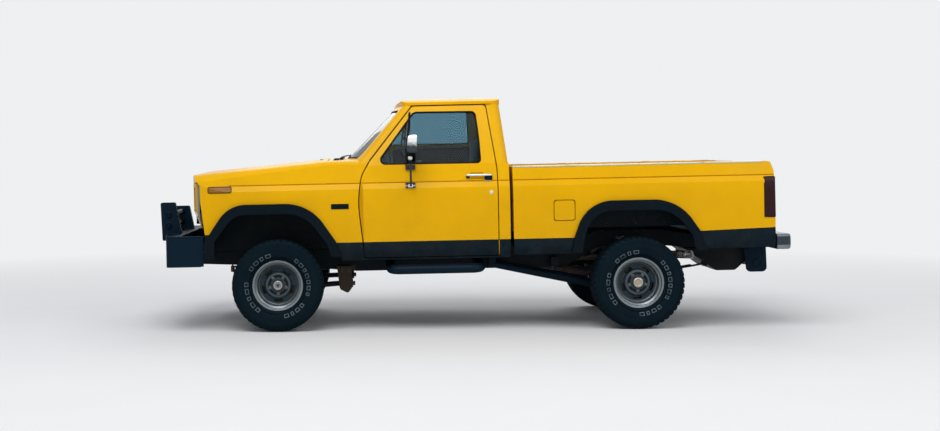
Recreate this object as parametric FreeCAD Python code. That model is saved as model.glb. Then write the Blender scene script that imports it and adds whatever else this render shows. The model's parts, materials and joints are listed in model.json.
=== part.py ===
"""A full-size two-door pickup truck of the early 1980s: raised four-wheel drive, short load bed, heavy front bumper.

Everything is drawn in millimetres in a level body frame: x runs back from the front wheel centre, y is positive
on the truck's right, z is height above the road under the front wheels. The whole truck is then set on the road by
seat(): the body stands nose-down by RAKE_DEG, and the finished frame has its origin under the middle of the truck.
"""

import FreeCAD, Part
import math
import os

# Stance and wheels
WHEELBASE = 2967.0
RAKE_DEG = 0.79
WHEEL_Z = 380.0
REAR_DROP = WHEELBASE * math.tan(math.radians(RAKE_DEG))
REAR_Z = WHEEL_Z - REAR_DROP
TYRE_R = 380.0
TYRE_WIDTH = 262.0
RIM_R = 208.0
RIM_HALF_WIDTH = 104.0
FRONT_WHEEL_Y = 827.0
REAR_WHEEL_Y = 818.0
KINGPIN_Y = 716.0
ARM_X = -125.0
PITMAN = (-300.0, -310.0)
WHEEL_HUB = (1150.0, -400.0, 1255.0)
COLUMN_DEG = 28.0
FRONT_TIP = (-1015.0, 1068.0)
REAR_TIP = (4223.0, 657.0)
GUARD_RIGHT_TOP = 1010.0
SOCKET_END_X = 4213.0
PIN_X = 4190.0

# Body levels and lengths
SILL_Z = 575.0
BELT_Z = 1350.0
GROOVE_Z = 1207.0
ROOF_EDGE_Z = 1838.0
ROOF_TOP_Z = 1916.0
BODY_HALF = 984.0
CAB_REAR_X = 1918.0
FIREWALL_X = 640.0
BED_X = (1946.0, 4086.0)
BED_TOP_Z = 1319.0
BED_FLOOR_Z = 815.0
BED_INNER_Y = 850.0
COWL = (441.0, 1395.0)
NOSE = (-624.0, 1304.0)
HOOD_HALF = 812.0
GAP = 8.0
SKIN = 12.0
DOOR_INNER_Y = 882.0
FLOOR_Z = 672.0

# Side outlines as (x, z, corner radius), read from the photograph's side view
DOOR = [(722, 592, 25), (672, 1060, 900), (705, 1270, 250), (776, 1390, 200), (1137, 1838, 30),
        (1752, 1838, 30), (1822, 1290, 900), (1822, 592, 25)]
WINDOW = [(822, 1353, 42), (1693, 1350, 32), (1686, 1560, 2000), (1664, 1783, 42), (1148, 1787, 60)]
FRONT_ARCH = [(-590, 500, 0), (-590, 752, 0), (-385, 1052, 265), (275, 1052, 380), (500, 715, 30), (560, 500, 0)]
REAR_ARCH = [(2400, 500, 0), (2440, 735, 0), (2551, 1023, 300), (3288, 1023, 380), (3480, 741, 30), (3560, 500, 0)]
SCREEN = [(-815, 1410, 45), (815, 1410, 45), (668, 1806, 45), (-668, 1806, 45)]
REAR_SCREEN = [(-640, 1425, 60), (640, 1425, 60), (600, 1765, 60), (-600, 1765, 60)]
FUEL_LID = [(2276, 867, 22), (2448, 867, 22), (2448, 1034, 22), (2276, 1034, 22)]
FLARE_WIDTH = 82.0
FLARE_PROUD = 26.0

V = FreeCAD.Vector
AXES = {"x": V(1, 0, 0), "y": V(0, 1, 0), "z": V(0, 0, 1)}
PLANES = {"xz": lambda u, v, at: V(u, at, v), "yz": lambda u, v, at: V(at, u, v), "xy": lambda u, v, at: V(u, v, at)}
NORMALS = {"xz": "y", "yz": "x", "xy": "z"}
parts = {}


def rounded(points, plane, at):
    """A closed wire of straight runs and arcs. Each point is (u, v) or (u, v, corner radius)."""
    corners = []
    count = len(points)
    for i, point in enumerate(points):
        radius = point[2] if len(point) > 2 else 0
        here = V(point[0], point[1], 0)
        back = V(points[i - 1][0], points[i - 1][1], 0)
        ahead = V(points[(i + 1) % count][0], points[(i + 1) % count][1], 0)
        way_in = (here - back).normalize()
        way_out = (ahead - here).normalize()
        turn = way_in.getAngle(way_out)
        if radius and turn > 1e-4:
            reach = radius * math.tan(turn / 2)
            start = here - way_in * reach
            end = here + way_out * reach
            side = 1 if way_in.cross(way_out).z > 0 else -1
            centre = start + V(-way_in.y, way_in.x, 0) * radius * side
            middle = centre + (here - centre).normalize() * radius
            corners.append((start, middle, end))
        else:
            corners.append((here, None, here))
    put = PLANES[plane]
    edges = []
    for i, (start, middle, end) in enumerate(corners):
        if middle is not None:
            arc = [put(p.x, p.y, at) for p in (start, middle, end)]
            edges.append(Part.Arc(*arc).toShape())
        following = corners[(i + 1) % count][0]
        if (following - end).Length > 1e-4:
            edges.append(Part.makeLine(put(end.x, end.y, at), put(following.x, following.y, at)))
    return Part.Wire(edges)


def slab(points, plane, lo, hi):
    """The outline drawn in a plane and extruded square to it from lo to hi."""
    face = Part.Face(rounded(points, plane, lo))
    return face.extrude(AXES[NORMALS[plane]] * (hi - lo))


def box(x, y, z):
    """A block from three (low, high) pairs."""
    return Part.makeBox(x[1] - x[0], y[1] - y[0], z[1] - z[0], V(x[0], y[0], z[0]))


def rod(start, end, radius):
    """A round bar between two points."""
    start, end = V(*start), V(*end)
    return Part.makeCylinder(radius, (end - start).Length, start, end - start)


def cone(start, end, r1, r2):
    start, end = V(*start), V(*end)
    return Part.makeCone(r1, r2, (end - start).Length, start, end - start)


def pipe(points, radius, bend):
    """A round bar along straight runs joined by arcs of one bend radius."""
    points = [V(*p) for p in points]
    edges = []
    start = points[0]
    for i in range(1, len(points) - 1):
        way_in = (points[i] - points[i - 1]).normalize()
        way_out = (points[i + 1] - points[i]).normalize()
        turn = way_in.getAngle(way_out)
        reach = bend * math.tan(turn / 2)
        a = points[i] - way_in * reach
        b = points[i] + way_out * reach
        inward = (way_out - way_in).normalize()
        middle = points[i] + inward * (bend / math.cos(turn / 2) - bend)
        edges.append(Part.makeLine(start, a))
        edges.append(Part.Arc(a, middle, b).toShape())
        start = b
    edges.append(Part.makeLine(start, points[-1]))
    path = Part.Wire(edges)
    ring = Part.Wire(Part.makeCircle(radius, points[0], points[1] - points[0]))
    return path.makePipeShell([ring], True, False)


def turned(profile, centre):
    """A solid of revolution about a line along y. The profile is (radius, y, corner radius) points."""
    points = [(r, y, *rest) for r, y, *rest in profile]
    face = Part.Face(rounded(points, "xy", 0))
    solid = face.revolve(V(0, 0, 0), V(0, 1, 0), 360)
    solid.translate(V(*centre))
    return solid


def fuse(*shapes):
    flat = [s for group in shapes for s in (group if isinstance(group, list) else [group])]
    whole = flat[0].fuse(flat[1:]) if len(flat) > 1 else flat[0]
    return whole.removeSplitter()


def flip(shape):
    """The same piece on the truck's other side."""
    return shape.mirror(V(0, 0, 0), V(0, 1, 0))


def pair(shape):
    return [shape, flip(shape)]


def both_sides(half):
    """A closed outline, symmetric about y = 0, from its right-hand points listed from bottom to top."""
    return half + [(-y, *rest) for y, *rest in reversed(half)]


def body_section(inset=0.0, bottom=SILL_Z, top=BELT_Z):
    """The body's cross-section in y and z: tucked under at the sill, widest at the waist, a bevel, then a shoulder."""
    lean = (958 - 925) / (BELT_Z - GROOVE_Z)
    top_y = 958 - lean * (top - GROOVE_Z)
    half = [(930, bottom + inset, 0), (966, bottom + inset + 60, 150), (BODY_HALF, 1100, 700),
            (979, 1158, 5), (958, GROOVE_Z, 5), (top_y, top - inset, 0)]
    return both_sides([(y - inset, z, r) for y, z, r in half])


def body_bar(x0, x1, inset=0.0, bottom=SILL_Z, top=BELT_Z):
    return slab(body_section(inset, bottom, top), "yz", x0, x1)


def groove(x0, x1):
    """The pressed line along both sides of the body."""
    cut = [(1000, GROOVE_Z + 6, 0), (949, GROOVE_Z + 4, 0), (949, GROOVE_Z - 4, 0), (1000, GROOVE_Z - 6, 0)]
    return pair(slab(cut, "yz", x0, x1))


def grown(outline, gap):
    """An outline's corners moved out from its middle by about gap along both axes."""
    mid_x = (min(p[0] for p in outline) + max(p[0] for p in outline)) / 2
    mid_z = (min(p[1] for p in outline) + max(p[1] for p in outline)) / 2
    return [(p[0] + gap * math.copysign(1, p[0] - mid_x), p[1] + gap * math.copysign(1, p[1] - mid_z), *p[2:])
            for p in outline]


def inset_arch(arch, width):
    """The opening left inside a flare: the arch drawn in by width, with tighter corners."""
    foot_a, knee_a, top_a, top_b, knee_b, foot_b = arch
    return [(foot_a[0] + width, foot_a[1], 0), (knee_a[0] + width, knee_a[1], 0),
            (top_a[0] + 0.55 * width, top_a[1] - width, top_a[2] - width),
            (top_b[0] - 0.55 * width, top_b[1] - width, top_b[2] - width),
            (knee_b[0] - width, knee_b[1], 0), (foot_b[0] - width, foot_b[1], 0)]


def nose_plan(inset=0.0, front=0.0):
    """The front end seen from above: a bowed front edge and sides that draw in a little ahead of the wheels."""
    half = [(800, 1010 - inset, 0), (-150, 1010 - inset, 0), (-655 + inset - front, 950 - inset, 45),
            (-748 + inset - front, 350, 1500)]
    return half + [(x, -y, r) for x, y, r in reversed(half)]


def clip_solid(inset=0.0):
    """The closed outer form of the fenders and hood, drawn in all round by inset."""
    sides = body_bar(-800, 800, inset, SILL_Z, 1420)
    plan = slab(nose_plan(inset), "xy", 400, 1500)
    slope = (COWL[1] - NOSE[1]) / (COWL[0] - NOSE[0])
    crown = [(1100, -900, 0), (968 - inset, -75 - inset, 90), (885 - inset, -2 - inset, 110), (0, 22 - inset, 9000),
             (-885 + inset, -2 - inset, 110), (-968 + inset, -75 - inset, 90), (-1100, -900, 0)]
    start_x = -900.0
    start_z = COWL[1] - slope * (COWL[0] - start_x)
    face = Part.Face(rounded([(y, z + start_z, r) for y, z, r in crown], "yz", start_x))
    sloped = face.extrude(V(COWL[0] - start_x, 0, COWL[1] - start_z))
    face = Part.Face(rounded([(y, z + COWL[1], r) for y, z, r in crown], "yz", COWL[0]))
    level = face.extrude(V(400, 0, 0))
    top = sloped.fuse(level)
    nose = [(-900, 300, 0), (-900, 1200, 0), (-765, 1236 + inset, 0), (-735 + inset, 1285 - inset, 70),
            (-600, 1330 - inset, 900), (900, 1500, 0), (900, 300, 0)]
    return sides.common(plan).common(top).common(slab(nose, "xz", -1200, 1200))


def greenhouse(inset=0.0, low=BELT_Z, high=ROOF_EDGE_Z):
    """The cab above the belt: a ruled form between two plan outlines, leaning in, with a bowed front for the glass."""
    def plan_at(z):
        share = (z - BELT_Z) / (ROOF_EDGE_Z - BELT_Z)
        half = 925 + (737 - 925) * share - inset
        centre_x = 523 + (1013 - 523) * share + inset
        pillar_x = 661 + (1070 - 661) * share + inset
        rear_x = CAB_REAR_X + (1868 - CAB_REAR_X) * share - inset
        side = [(rear_x, half, 80), (pillar_x, half, 55), (centre_x, 0.5 * half, 1400)]
        return rounded(side + [(x, -y, r) for x, y, r in reversed(side)], "xy", z)
    return Part.makeLoft([plan_at(low), plan_at(high)], True, True)


def roof(inset=0.0):
    """The roof panel above the drip rail: rounded at its edges and slightly crowned."""
    side = [(1874 - inset, 731 - inset, 80), (1066 + inset, 731 - inset, 55), (1012 + inset, 368, 1400)]
    plan = slab(side + [(x, -y, r) for x, y, r in reversed(side)], "xy", ROOF_EDGE_Z - 1, 1960)
    across = [(760, 1700, 0), (738 - inset, 1866 - inset, 34), (640, 1892 - inset, 240), (0, ROOF_TOP_Z - inset, 5000),
              (-640, 1892 - inset, 240), (-738 + inset, 1866 - inset, 34), (-760, 1700, 0)]
    along = [(980, 1700, 0), (1010, 1862 - inset, 30), (1100, 1905 - inset, 300), (1440, 1921 - inset, 2500),
             (1850, 1908 - inset, 50), (1900, 1860, 0), (1900, 1700, 0)]
    return plan.common(slab(across, "yz", 900, 2000)).common(slab(along, "xz", -800, 800))


def make_frame():
    """Ladder frame: two channel rails with a kick-up over the rear axle, and crossmembers."""
    def rail_side(t):
        top = [(-760, 640), (150, 640), (700, 628), (2450, 628), (2700, 745), (3250, 745), (3500, 700), (4040, 700)]
        low = [(4040, 590), (3480, 590), (3230, 615), (2720, 615), (2430, 448), (650, 448), (100, 500), (-760, 540)]
        return [(x, z - t) for x, z in top] + [(x, z + t) for x, z in low]
    rail = slab(rail_side(0), "xz", 367, 432)
    rail = rail.cut(slab(rail_side(9), "xz", 360, 423))
    cross = [((-700, -640), (560, 620)), ((-60, 30), (520, 600)), ((1240, 1330), (470, 560)),
             ((2020, 2080), (545, 625)), ((2560, 2620), (600, 690)), ((3330, 3390), (640, 700)),
             ((3980, 4040), (600, 690))]
    members = [box(x, (-424, 424), z) for x, z in cross]
    parts["frame"] = fuse(pair(rail), members, pair(arm_bracket()))


def arm_bracket():
    """The left rail's plate bracket that takes the rear end of a radius arm, with the arm's nut behind it."""
    outline = [(479, 494, 0), (604, 494, 0), (604, 310, 15), (570, 265, 20), (500, 300, 30)]
    side = slab(outline, "xz", -492, -484)
    shelf = box((479, 604), (-485, -432), (486, 494))
    wall = fuse(box((586, 596), (-485, -410), (300, 449)), box((586, 596), (-485, -432), (440, 494)))
    nut = rod((595, -445, 346), (632, -445, 346), 15)
    return fuse(side, shelf, wall, nut)


def make_cab():
    """The hollow cab with its floor, pillars, cowl and roof, before the doors are cut from it."""
    lower = body_bar(FIREWALL_X, CAB_REAR_X)
    for notch in pair(box((500, 716), (952, 1100), (500, 1500))):
        lower = lower.cut(notch)
    drip_rail = box((1122, 1794), (-747, -728), (1843.5, 1850))
    outer = fuse(lower, greenhouse(), roof(), pair(drip_rail))
    void_low = box((FIREWALL_X + 26, CAB_REAR_X - 42), (-DOOR_INNER_Y, DOOR_INNER_Y), (FLOOR_Z, BELT_Z + 1))
    void_high = greenhouse(36, BELT_Z, ROOF_EDGE_Z + 18)
    under = box((FIREWALL_X - 10, CAB_REAR_X + 10), (-800, 800), (500, FLOOR_Z - 22))
    shell = outer.cut(void_low).cut(void_high).cut(under)
    tunnel = slab([(-228, 650, 0), (-170, 800, 40), (170, 800, 40), (228, 650, 0)], "yz", FIREWALL_X, 1300)
    hollow = slab([(-219, 648, 0), (-160, 790, 30), (160, 790, 30), (219, 648, 0)], "yz", FIREWALL_X - 20, 1290)
    parts["tunnel_cover"] = tunnel.cut(hollow)
    shell = shell.cut(tunnel)
    shell = shell.cut(slab(SCREEN, "yz", 400, 1250)).cut(slab(REAR_SCREEN, "yz", 1700, 2000))
    pane = greenhouse(10).cut(greenhouse(17, BELT_Z - 5, ROOF_EDGE_Z + 5))
    parts["windshield"] = pane.common(slab([(y * 0.997, z, r) for y, z, r in SCREEN], "yz", 400, 1250))
    parts["rear_window"] = pane.common(slab([(y * 0.997, z, r) for y, z, r in REAR_SCREEN], "yz", 1700, 2000))
    for line in groove(500, 2000):
        shell = shell.cut(line)
    return shell


def cowl_panel():
    """The vented panel between the hood and the windscreen, down to the firewall."""
    top = clip_solid().common(box((COWL[0] - 8, 760), (-HOOD_HALF, HOOD_HALF), (1300, 1450)))
    under = box((COWL[0] + 14, 760), (-HOOD_HALF + 14, HOOD_HALF - 14), (1290, 1372))
    cut_back = greenhouse(20, 1300, 1500)
    return top.cut(under).cut(cut_back)


def door_zone(gap):
    """The room the left door takes: its outline, as deep as the door below the belt and the pillars above it."""
    zone = slab(grown(DOOR, gap), "xz", -1100, -560)
    return zone.cut(box((500, 2000), (-DOOR_INNER_Y + gap, -500), (300, BELT_Z - 10)))


def make_door(shell):
    """The left door, cut from the cab's own wall, with its window opening."""
    return shell.common(door_zone(-GAP / 2)).cut(slab(WINDOW, "xz", -1100, -560))


def largest(shape):
    return max(shape.Solids, key=lambda s: s.Volume)


def vent_divider(low, high):
    """The leaning post between the vent pane and the door glass."""
    lean = (1125 - 1078) / (1800 - 1340)
    foot = 1078 - lean * (1340 - low)
    head = 1078 + lean * (high - 1340)
    return slab([(foot - 16, low, 0), (foot, low, 0), (head, high, 0), (head - 16, high, 0)], "xz", -1100, -560)


def make_body():
    """The cab, and the doors and their glass cut from it."""
    shell = make_cab()
    door = largest(make_door(shell))
    post = vent_divider(1340, 1800).common(greenhouse(4, 1340)).cut(greenhouse(22, 1330, ROOF_EDGE_Z + 5))
    post = post.common(slab(grown(WINDOW, 4), "xz", -1100, -560))
    parts["door_left"] = largest(fuse(door, post))
    parts["door_right"] = flip(parts["door_left"])
    pane = greenhouse(10, 1300).cut(greenhouse(16, 1290, ROOF_EDGE_Z + 5))
    pane = pane.common(slab(grown(WINDOW, -0.6), "xz", -1100, -560))
    parts["door_glass_left"] = pane.cut(vent_divider(1330, 1810))
    parts["door_glass_right"] = flip(parts["door_glass_left"])
    seam = clip_solid(-1).cut(clip_solid(SKIN + 6)).cut(slab(door_edge(0), "xz", -1200, 1200))
    seam = seam.cut(box((-1000, 1000), (-HOOD_HALF - GAP / 2, HOOD_HALF + GAP / 2), (0, 2000)))
    for gap in (door_zone(GAP / 2), flip(door_zone(GAP / 2)), seam):
        shell = shell.cut(gap)
    cab = fuse(largest(shell), cowl_panel())
    parts["cab"] = largest(cab.cut(slab(SCREEN, "yz", 400, 1250)))


def make_handle():
    """The left door's pull: a bar and a push button on a plate that lies on the slanting door skin."""
    plate = slab([(1560, 1214, 8), (1784, 1214, 8), (1784, 1256, 8), (1560, 1256, 8)], "xz", -963, -940)
    bar = slab([(1572, 1222, 8), (1742, 1219, 8), (1742, 1246, 8), (1572, 1243, 8)], "xz", -978, -962)
    button = rod((1762, -940, 1235), (1762, -972, 1235), 12)
    parts["handle_left"] = largest(fuse(plate, bar, button).cut(body_bar(1500, 1850)))
    parts["handle_right"] = flip(parts["handle_left"])


def door_edge(shift):
    """The region behind the door's front edge, up to the foot of the windscreen pillar."""
    edge = [(x + shift, *rest) for x, *rest in DOOR[:4]]
    rise = 0.25
    pillar = (edge[3][0] + rise * (DOOR[4][0] - DOOR[3][0]), edge[3][1] + rise * (DOOR[4][1] - DOOR[3][1]), 0)
    return [(edge[0][0], 300, 0)] + edge + [pillar, (1200, 1500, 0), (1200, 300, 0)]


def make_front():
    """Fenders and hood, cut from one hollow front form."""
    skin = clip_solid().cut(clip_solid(SKIN))
    front_cut = [(-2000, 1238, 0), (-640, 1238, 0), (-622, 1215, 0), (-620, 1090, 0), (-586, 815, 0),
                 (-590, 400, 0), (-2000, 400, 0)]
    skin = skin.cut(slab(front_cut, "xz", -1200, 1200))
    hood_rear = COWL[0] - 16
    hood_zone = [(-900, -HOOD_HALF, 0), (hood_rear, -HOOD_HALF, 20), (hood_rear, HOOD_HALF, 20), (-900, HOOD_HALF, 0)]
    hood = skin.common(slab(hood_zone, "xy", 1150, 1500))
    parts["hood"] = largest(hood)
    sides = skin.cut(box((-900, COWL[0] + 700), (-HOOD_HALF - GAP, HOOD_HALF + GAP), (300, 1600)))
    sides = sides.cut(slab(door_edge(-GAP / 2), "xz", -1200, 1200))
    sides = sides.cut(slab(FRONT_ARCH, "xz", -1200, 1200))
    sides = sides.cut(box((-2000, 0), (-1200, 1200), (0, 612)))
    for line in groove(-380, 900):
        sides = sides.cut(line)
    left = sides.common(box((-1000, 1000), (-1200, 0), (0, 2000)))
    parts["fender_left"] = largest(left)
    parts["fender_right"] = flip(parts["fender_left"])


def make_flares():
    """Black wheel-arch lips, standing proud of the body, one over each wheel."""
    lips = []
    for arch, foot_z in ((FRONT_ARCH, 612), (REAR_ARCH, 600)):
        x0 = arch[0][0] - 10
        x1 = arch[-1][0] + 10
        ring = slab(shrunk_arch(arch, 0.6), "xz", -1200, -700)
        ring = ring.cut(slab(inset_arch(arch, FLARE_WIDTH), "xz", -1200, -700))
        bar = body_bar(x0, x1, -FLARE_PROUD, SILL_Z - 60).cut(body_bar(x0 - 5, x1 + 5, 30, SILL_Z - 90))
        lip = ring.common(bar).common(box((x0, x1), (-1200, -700), (foot_z, 1200)))
        lips += pair(largest(lip))
    parts["wheel_flares"] = Part.makeCompound(lips)


def shrunk_arch(arch, gap):
    """An arch drawn in by a thin gap at its sides and top."""
    middle = (arch[0][0] + arch[-1][0]) / 2
    return [(x + math.copysign(gap, middle - x), z - (gap if z > 900 else 0), r) for x, z, r in arch]


def make_bed():
    """The load bed: side walls with tucked skirts, a ribbed floor, front wall, wheel housings and tailgate."""
    x0, x1 = BED_X
    full = body_bar(x0, x1, 0, SILL_Z, BED_TOP_Z)
    corner = [(x0 - 10, 300, 0), (x0 - 10, 1400, 0), (x1 - 74, 1400, 0), (x1 - 74, BED_TOP_Z + 2, 0),
              (x1 - 22, BED_TOP_Z - 8, 30), (x1, BED_TOP_Z - 84, 60), (x1 + 4, 300, 0)]
    full = full.common(slab(corner, "xz", -1200, 1200))
    wall = full.cut(box((x0 - 10, x1 + 10), (-BED_INNER_Y, BED_INNER_Y), (300, 1500)))
    skirt_void = body_bar(x0 - 10, x1 + 10, 26, SILL_Z - 100).common(box((x0 - 10, x1 + 10), (-1200, 1200), (300, 780)))
    wall = wall.cut(skirt_void)
    wall = wall.cut(box((REAR_ARCH[3][0], 4200), (-1200, 1200), (300, 612)))
    wall = wall.cut(slab(REAR_ARCH, "xz", -1200, 1200))
    for line in groove(1900, 4200):
        wall = wall.cut(line)
    left = wall.common(box((1900, 4200), (-1200, 0), (0, 2000)))
    lamp = box((4001, 4200), (-1100, -868), (864, 1188))
    lamp_gap = box((4000.4, 4201), (-1101, -867.4), (863.4, 1188.6))
    parts["bed_side_right"] = flip(largest(left.cut(lamp_gap)))
    tail = left.common(lamp)
    parts["tail_lamps"] = Part.makeCompound(pair(largest(tail)))
    lid_zone = slab(grown(FUEL_LID, -3), "xz", -1100, -900)
    pocket = slab(grown(FUEL_LID, 3), "xz", -1100, -902)
    lid_bar = full.cut(body_bar(x0 - 10, x1 + 10, 7, SILL_Z, BED_TOP_Z + 20))
    parts["fuel_door"] = largest(lid_bar.common(lid_zone))
    left = left.cut(lamp_gap).cut(pocket)
    cap = rod((2362, -903, 950), (2362, -950, 950), 34)
    parts["bed_side_left"] = largest(fuse(largest(left), cap))
    inside = BED_INNER_Y - 0.5
    floor = box((x0 + 2, x1 - 52), (-inside, inside), (BED_FLOOR_Z - 26, BED_FLOOR_Z))
    ribs = [box((x0 + 60, x1 - 60), (y - 28, y + 28), (BED_FLOOR_Z - 1, BED_FLOOR_Z + 9))
            for y in range(-560, 561, 112)]
    front = box((x0, x0 + 34), (-inside, inside), (BED_FLOOR_Z - 26, BED_TOP_Z - 2))
    sills = [box((x, x + 60), (-800, 800), (BED_FLOOR_Z - 62, BED_FLOOR_Z - 25)) for x in (2080, 2480, 3420, 3900)]
    tail_sill = box((x1 - 100, x1 - 6), (-inside, inside), (720, BED_FLOOR_Z - 14))
    bed = fuse(floor, ribs, front, sills, tail_sill)
    house = [(-470, 790, 0), (-400, 1020, 90), (400, 1020, 90), (470, 790, 0)]
    hollow = [(-455, 700, 0), (-388, 1006, 80), (388, 1006, 80), (455, 700, 0)]
    house = slab([(WHEELBASE + x, z, r) for x, z, r in house], "xz", -inside, -655)
    hollow = slab([(WHEELBASE + x, z, r) for x, z, r in hollow], "xz", -inside - 5, -667)
    for outer, inner in zip(pair(house), pair(hollow)):
        bed = bed.fuse(outer).cut(inner)
    parts["bed"] = largest(bed.removeSplitter())
    gate = box((x1 - 41, x1), (-BED_INNER_Y + 10, BED_INNER_Y - 10), (BED_FLOOR_Z + 8, BED_TOP_Z - 6))
    panel = [(-700, 900, 30), (700, 900, 30), (700, 1235, 30), (-700, 1235, 30)]
    parts["tailgate"] = gate.cut(slab(panel, "yz", x1 - 7, x1 + 5))


def make_grille():
    """The grille surround with its crossing bars, lamp openings and the parking lamps' slots."""
    upper = slab(nose_plan(22, 20), "xy", 1000, 1232)
    foot = rounded(nose_plan(22, 20 - 62), "xy", 852)
    lower = Part.makeLoft([foot, rounded(nose_plan(22, 20), "xy", 1000)], True, True)
    ring = fuse(upper, lower).common(box((-1000, -626), (-1000, 1000), (800, 1300)))
    ring = ring.cut(slab(nose_plan(22, -45), "xy", 800, 1300))
    lamps = [(605, 1022, 18), (875, 1022, 18), (875, 1196, 18), (605, 1196, 18)]
    signals = [(605, 892, 14), (875, 892, 14), (875, 982, 14), (605, 982, 14)]
    middle = [(-560, 888, 24), (560, 888, 24), (560, 1200, 24), (-560, 1200, 24)]
    for hole in (lamps, signals):
        for side in (-1, 1):
            ring = ring.cut(slab([(side * y, z, r) for y, z, r in hole], "yz", -1000, -500))
    ring = ring.cut(slab(middle, "yz", -1000, -500))
    bars = [slab([(-570, z, 0), (570, z, 0), (570, z + 13, 0), (-570, z + 13, 0)], "yz", -1000, -600)
            for z in (928, 978, 1028, 1078, 1128, 1165)]
    bars += [slab([(y - 6, 880, 0), (y + 6, 880, 0), (y + 6, 1208, 0), (y - 6, 1208, 0)], "yz", -1000, -600)
             for y in range(-480, 481, 120)]
    sheet = slab(nose_plan(22, 2), "xy", 872, 1216).cut(slab(nose_plan(22, -26), "xy", 800, 1300))
    lattice = sheet.common(fuse(bars)).cut(box((-700, 900), (-1100, 1100), (800, 871)))
    lattice = lattice.common(slab(grown(middle, 6), "yz", -1000, -500))
    parts["grille"] = fuse(ring, lattice)


def make_lamps():
    """Headlamp and parking-lamp lenses behind the grille surround, and the side markers on the fenders."""
    lens = [(607, 1024, 16), (873, 1024, 16), (873, 1194, 16), (607, 1194, 16)]
    signal = [(607, 894, 12), (873, 894, 12), (873, 980, 12), (607, 980, 12)]
    body = slab(nose_plan(22, 6), "xy", 1010, 1210).cut(slab(nose_plan(22, -48), "xy", 1000, 1300))
    head = body.common(slab(lens, "yz", -1000, -500))
    body = slab(nose_plan(22, -22), "xy", 885, 990).cut(slab(nose_plan(22, -48), "xy", 800, 1300))
    park = body.common(slab(signal, "yz", -1000, -500))
    parts["headlamps"] = Part.makeCompound(pair(head))
    marker = [(-548, 1156, 8), (-365, 1156, 8), (-365, 1197, 8), (-548, 1197, 8)]
    bar = clip_solid(-5).cut(clip_solid(-0.5))
    side = largest(bar.common(slab(marker, "xz", 800, 1100)))
    parts["turn_lamps"] = Part.makeCompound(pair(park) + pair(side))


def make_bumpers():
    """A welded plate bumper that wraps round the nose, an upright push guard, and a bright rear bumper."""
    plan = [(-600, 962, 0), (-905, 962, 35), (-962, 500, 120), (-962, -500, 120), (-905, -962, 35), (-600, -962, 0)]
    hollow = [(-590, 952, 0), (-895, 952, 30), (-950, 496, 110), (-950, -496, 110), (-895, -952, 30), (-590, -952, 0)]
    shell = slab(plan, "xy", 552, 797).cut(slab(hollow, "xy", 500, 787))
    shell = shell.cut(box((-800, -590), (-890, 890), (780, 800)))
    arms = pair(box((-952, -765), (374, 424), (560, 622)))
    parts["front_bumper"] = fuse(shell, arms)
    posts = [guard_post(-466, FRONT_TIP[1]), guard_post(412, GUARD_RIGHT_TOP)]
    bars = [rod((-948, -430, z), (-948, 430, z), 24) for z in (960, 870)]
    parts["push_guard"] = fuse(posts, bars)
    side = [(4100, 721, 0), (4211, 721, 26), (4223, 657, 160), (4211, 594, 26), (4100, 594, 0)]
    plan = [(4098, 962, 0), (4223, 958, 48), (4223, -958, 48), (4098, -962, 0)]
    outer = slab(plan, "xy", 594, 721).common(slab(side, "xz", -1000, 1000))
    inner_side = [(4090, 709, 0), (4203, 709, 20), (4213, 657, 150), (4203, 606, 20), (4090, 606, 0)]
    inner_plan = [(4090, 951, 0), (4212, 947, 38), (4212, -947, 38), (4090, -951, 0)]
    inner = slab(inner_plan, "xy", 606, 709).common(slab(inner_side, "xz", -1000, 1000))
    arms = pair(box((4041, 4216), (374, 424), (610, 680)))
    parts["rear_bumper"] = fuse(outer.cut(inner), arms)


def guard_post(y, top):
    """A plate upright of the push guard that stands on the bumper and leans forward to its top."""
    share = (top - 743) / (FRONT_TIP[1] - 743)
    front = -1003 + (FRONT_TIP[0] + 1003) * share
    back = -838 - 52 * (top - 797.5) / (FRONT_TIP[1] - 797.5)
    outline = [(front, top, 14), (back, top, 14), (-838, 797.5, 0), (-962.5, 797.5, 0), (-962.5, 743, 0),
               (-1003, 743, 10)]
    return slab(outline, "xz", y, y + 54)


def make_hitch():
    """Receiver hitch: two side plates under the frame, a cross tube and a square socket with a pin hole."""
    plate = [(3965, 589.4, 0), (4155, 589.4, 0), (4160, 366, 40), (3985, 366, 40)]
    sides = pair(slab(plate, "xz", 400, 410))
    cross = rod((4075, -401, 440), (4075, 401, 440), 34)
    socket = box((4060, SOCKET_END_X), (-36, 36), (404, 476))
    bore = box((4050, SOCKET_END_X + 10), (-26, 26), (414, 466))
    pin = rod((PIN_X, -60, 440), (PIN_X, 60, 440), 8.2)
    parts["hitch"] = fuse(sides, cross.cut(bore), socket.cut(bore).cut(pin))


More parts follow.
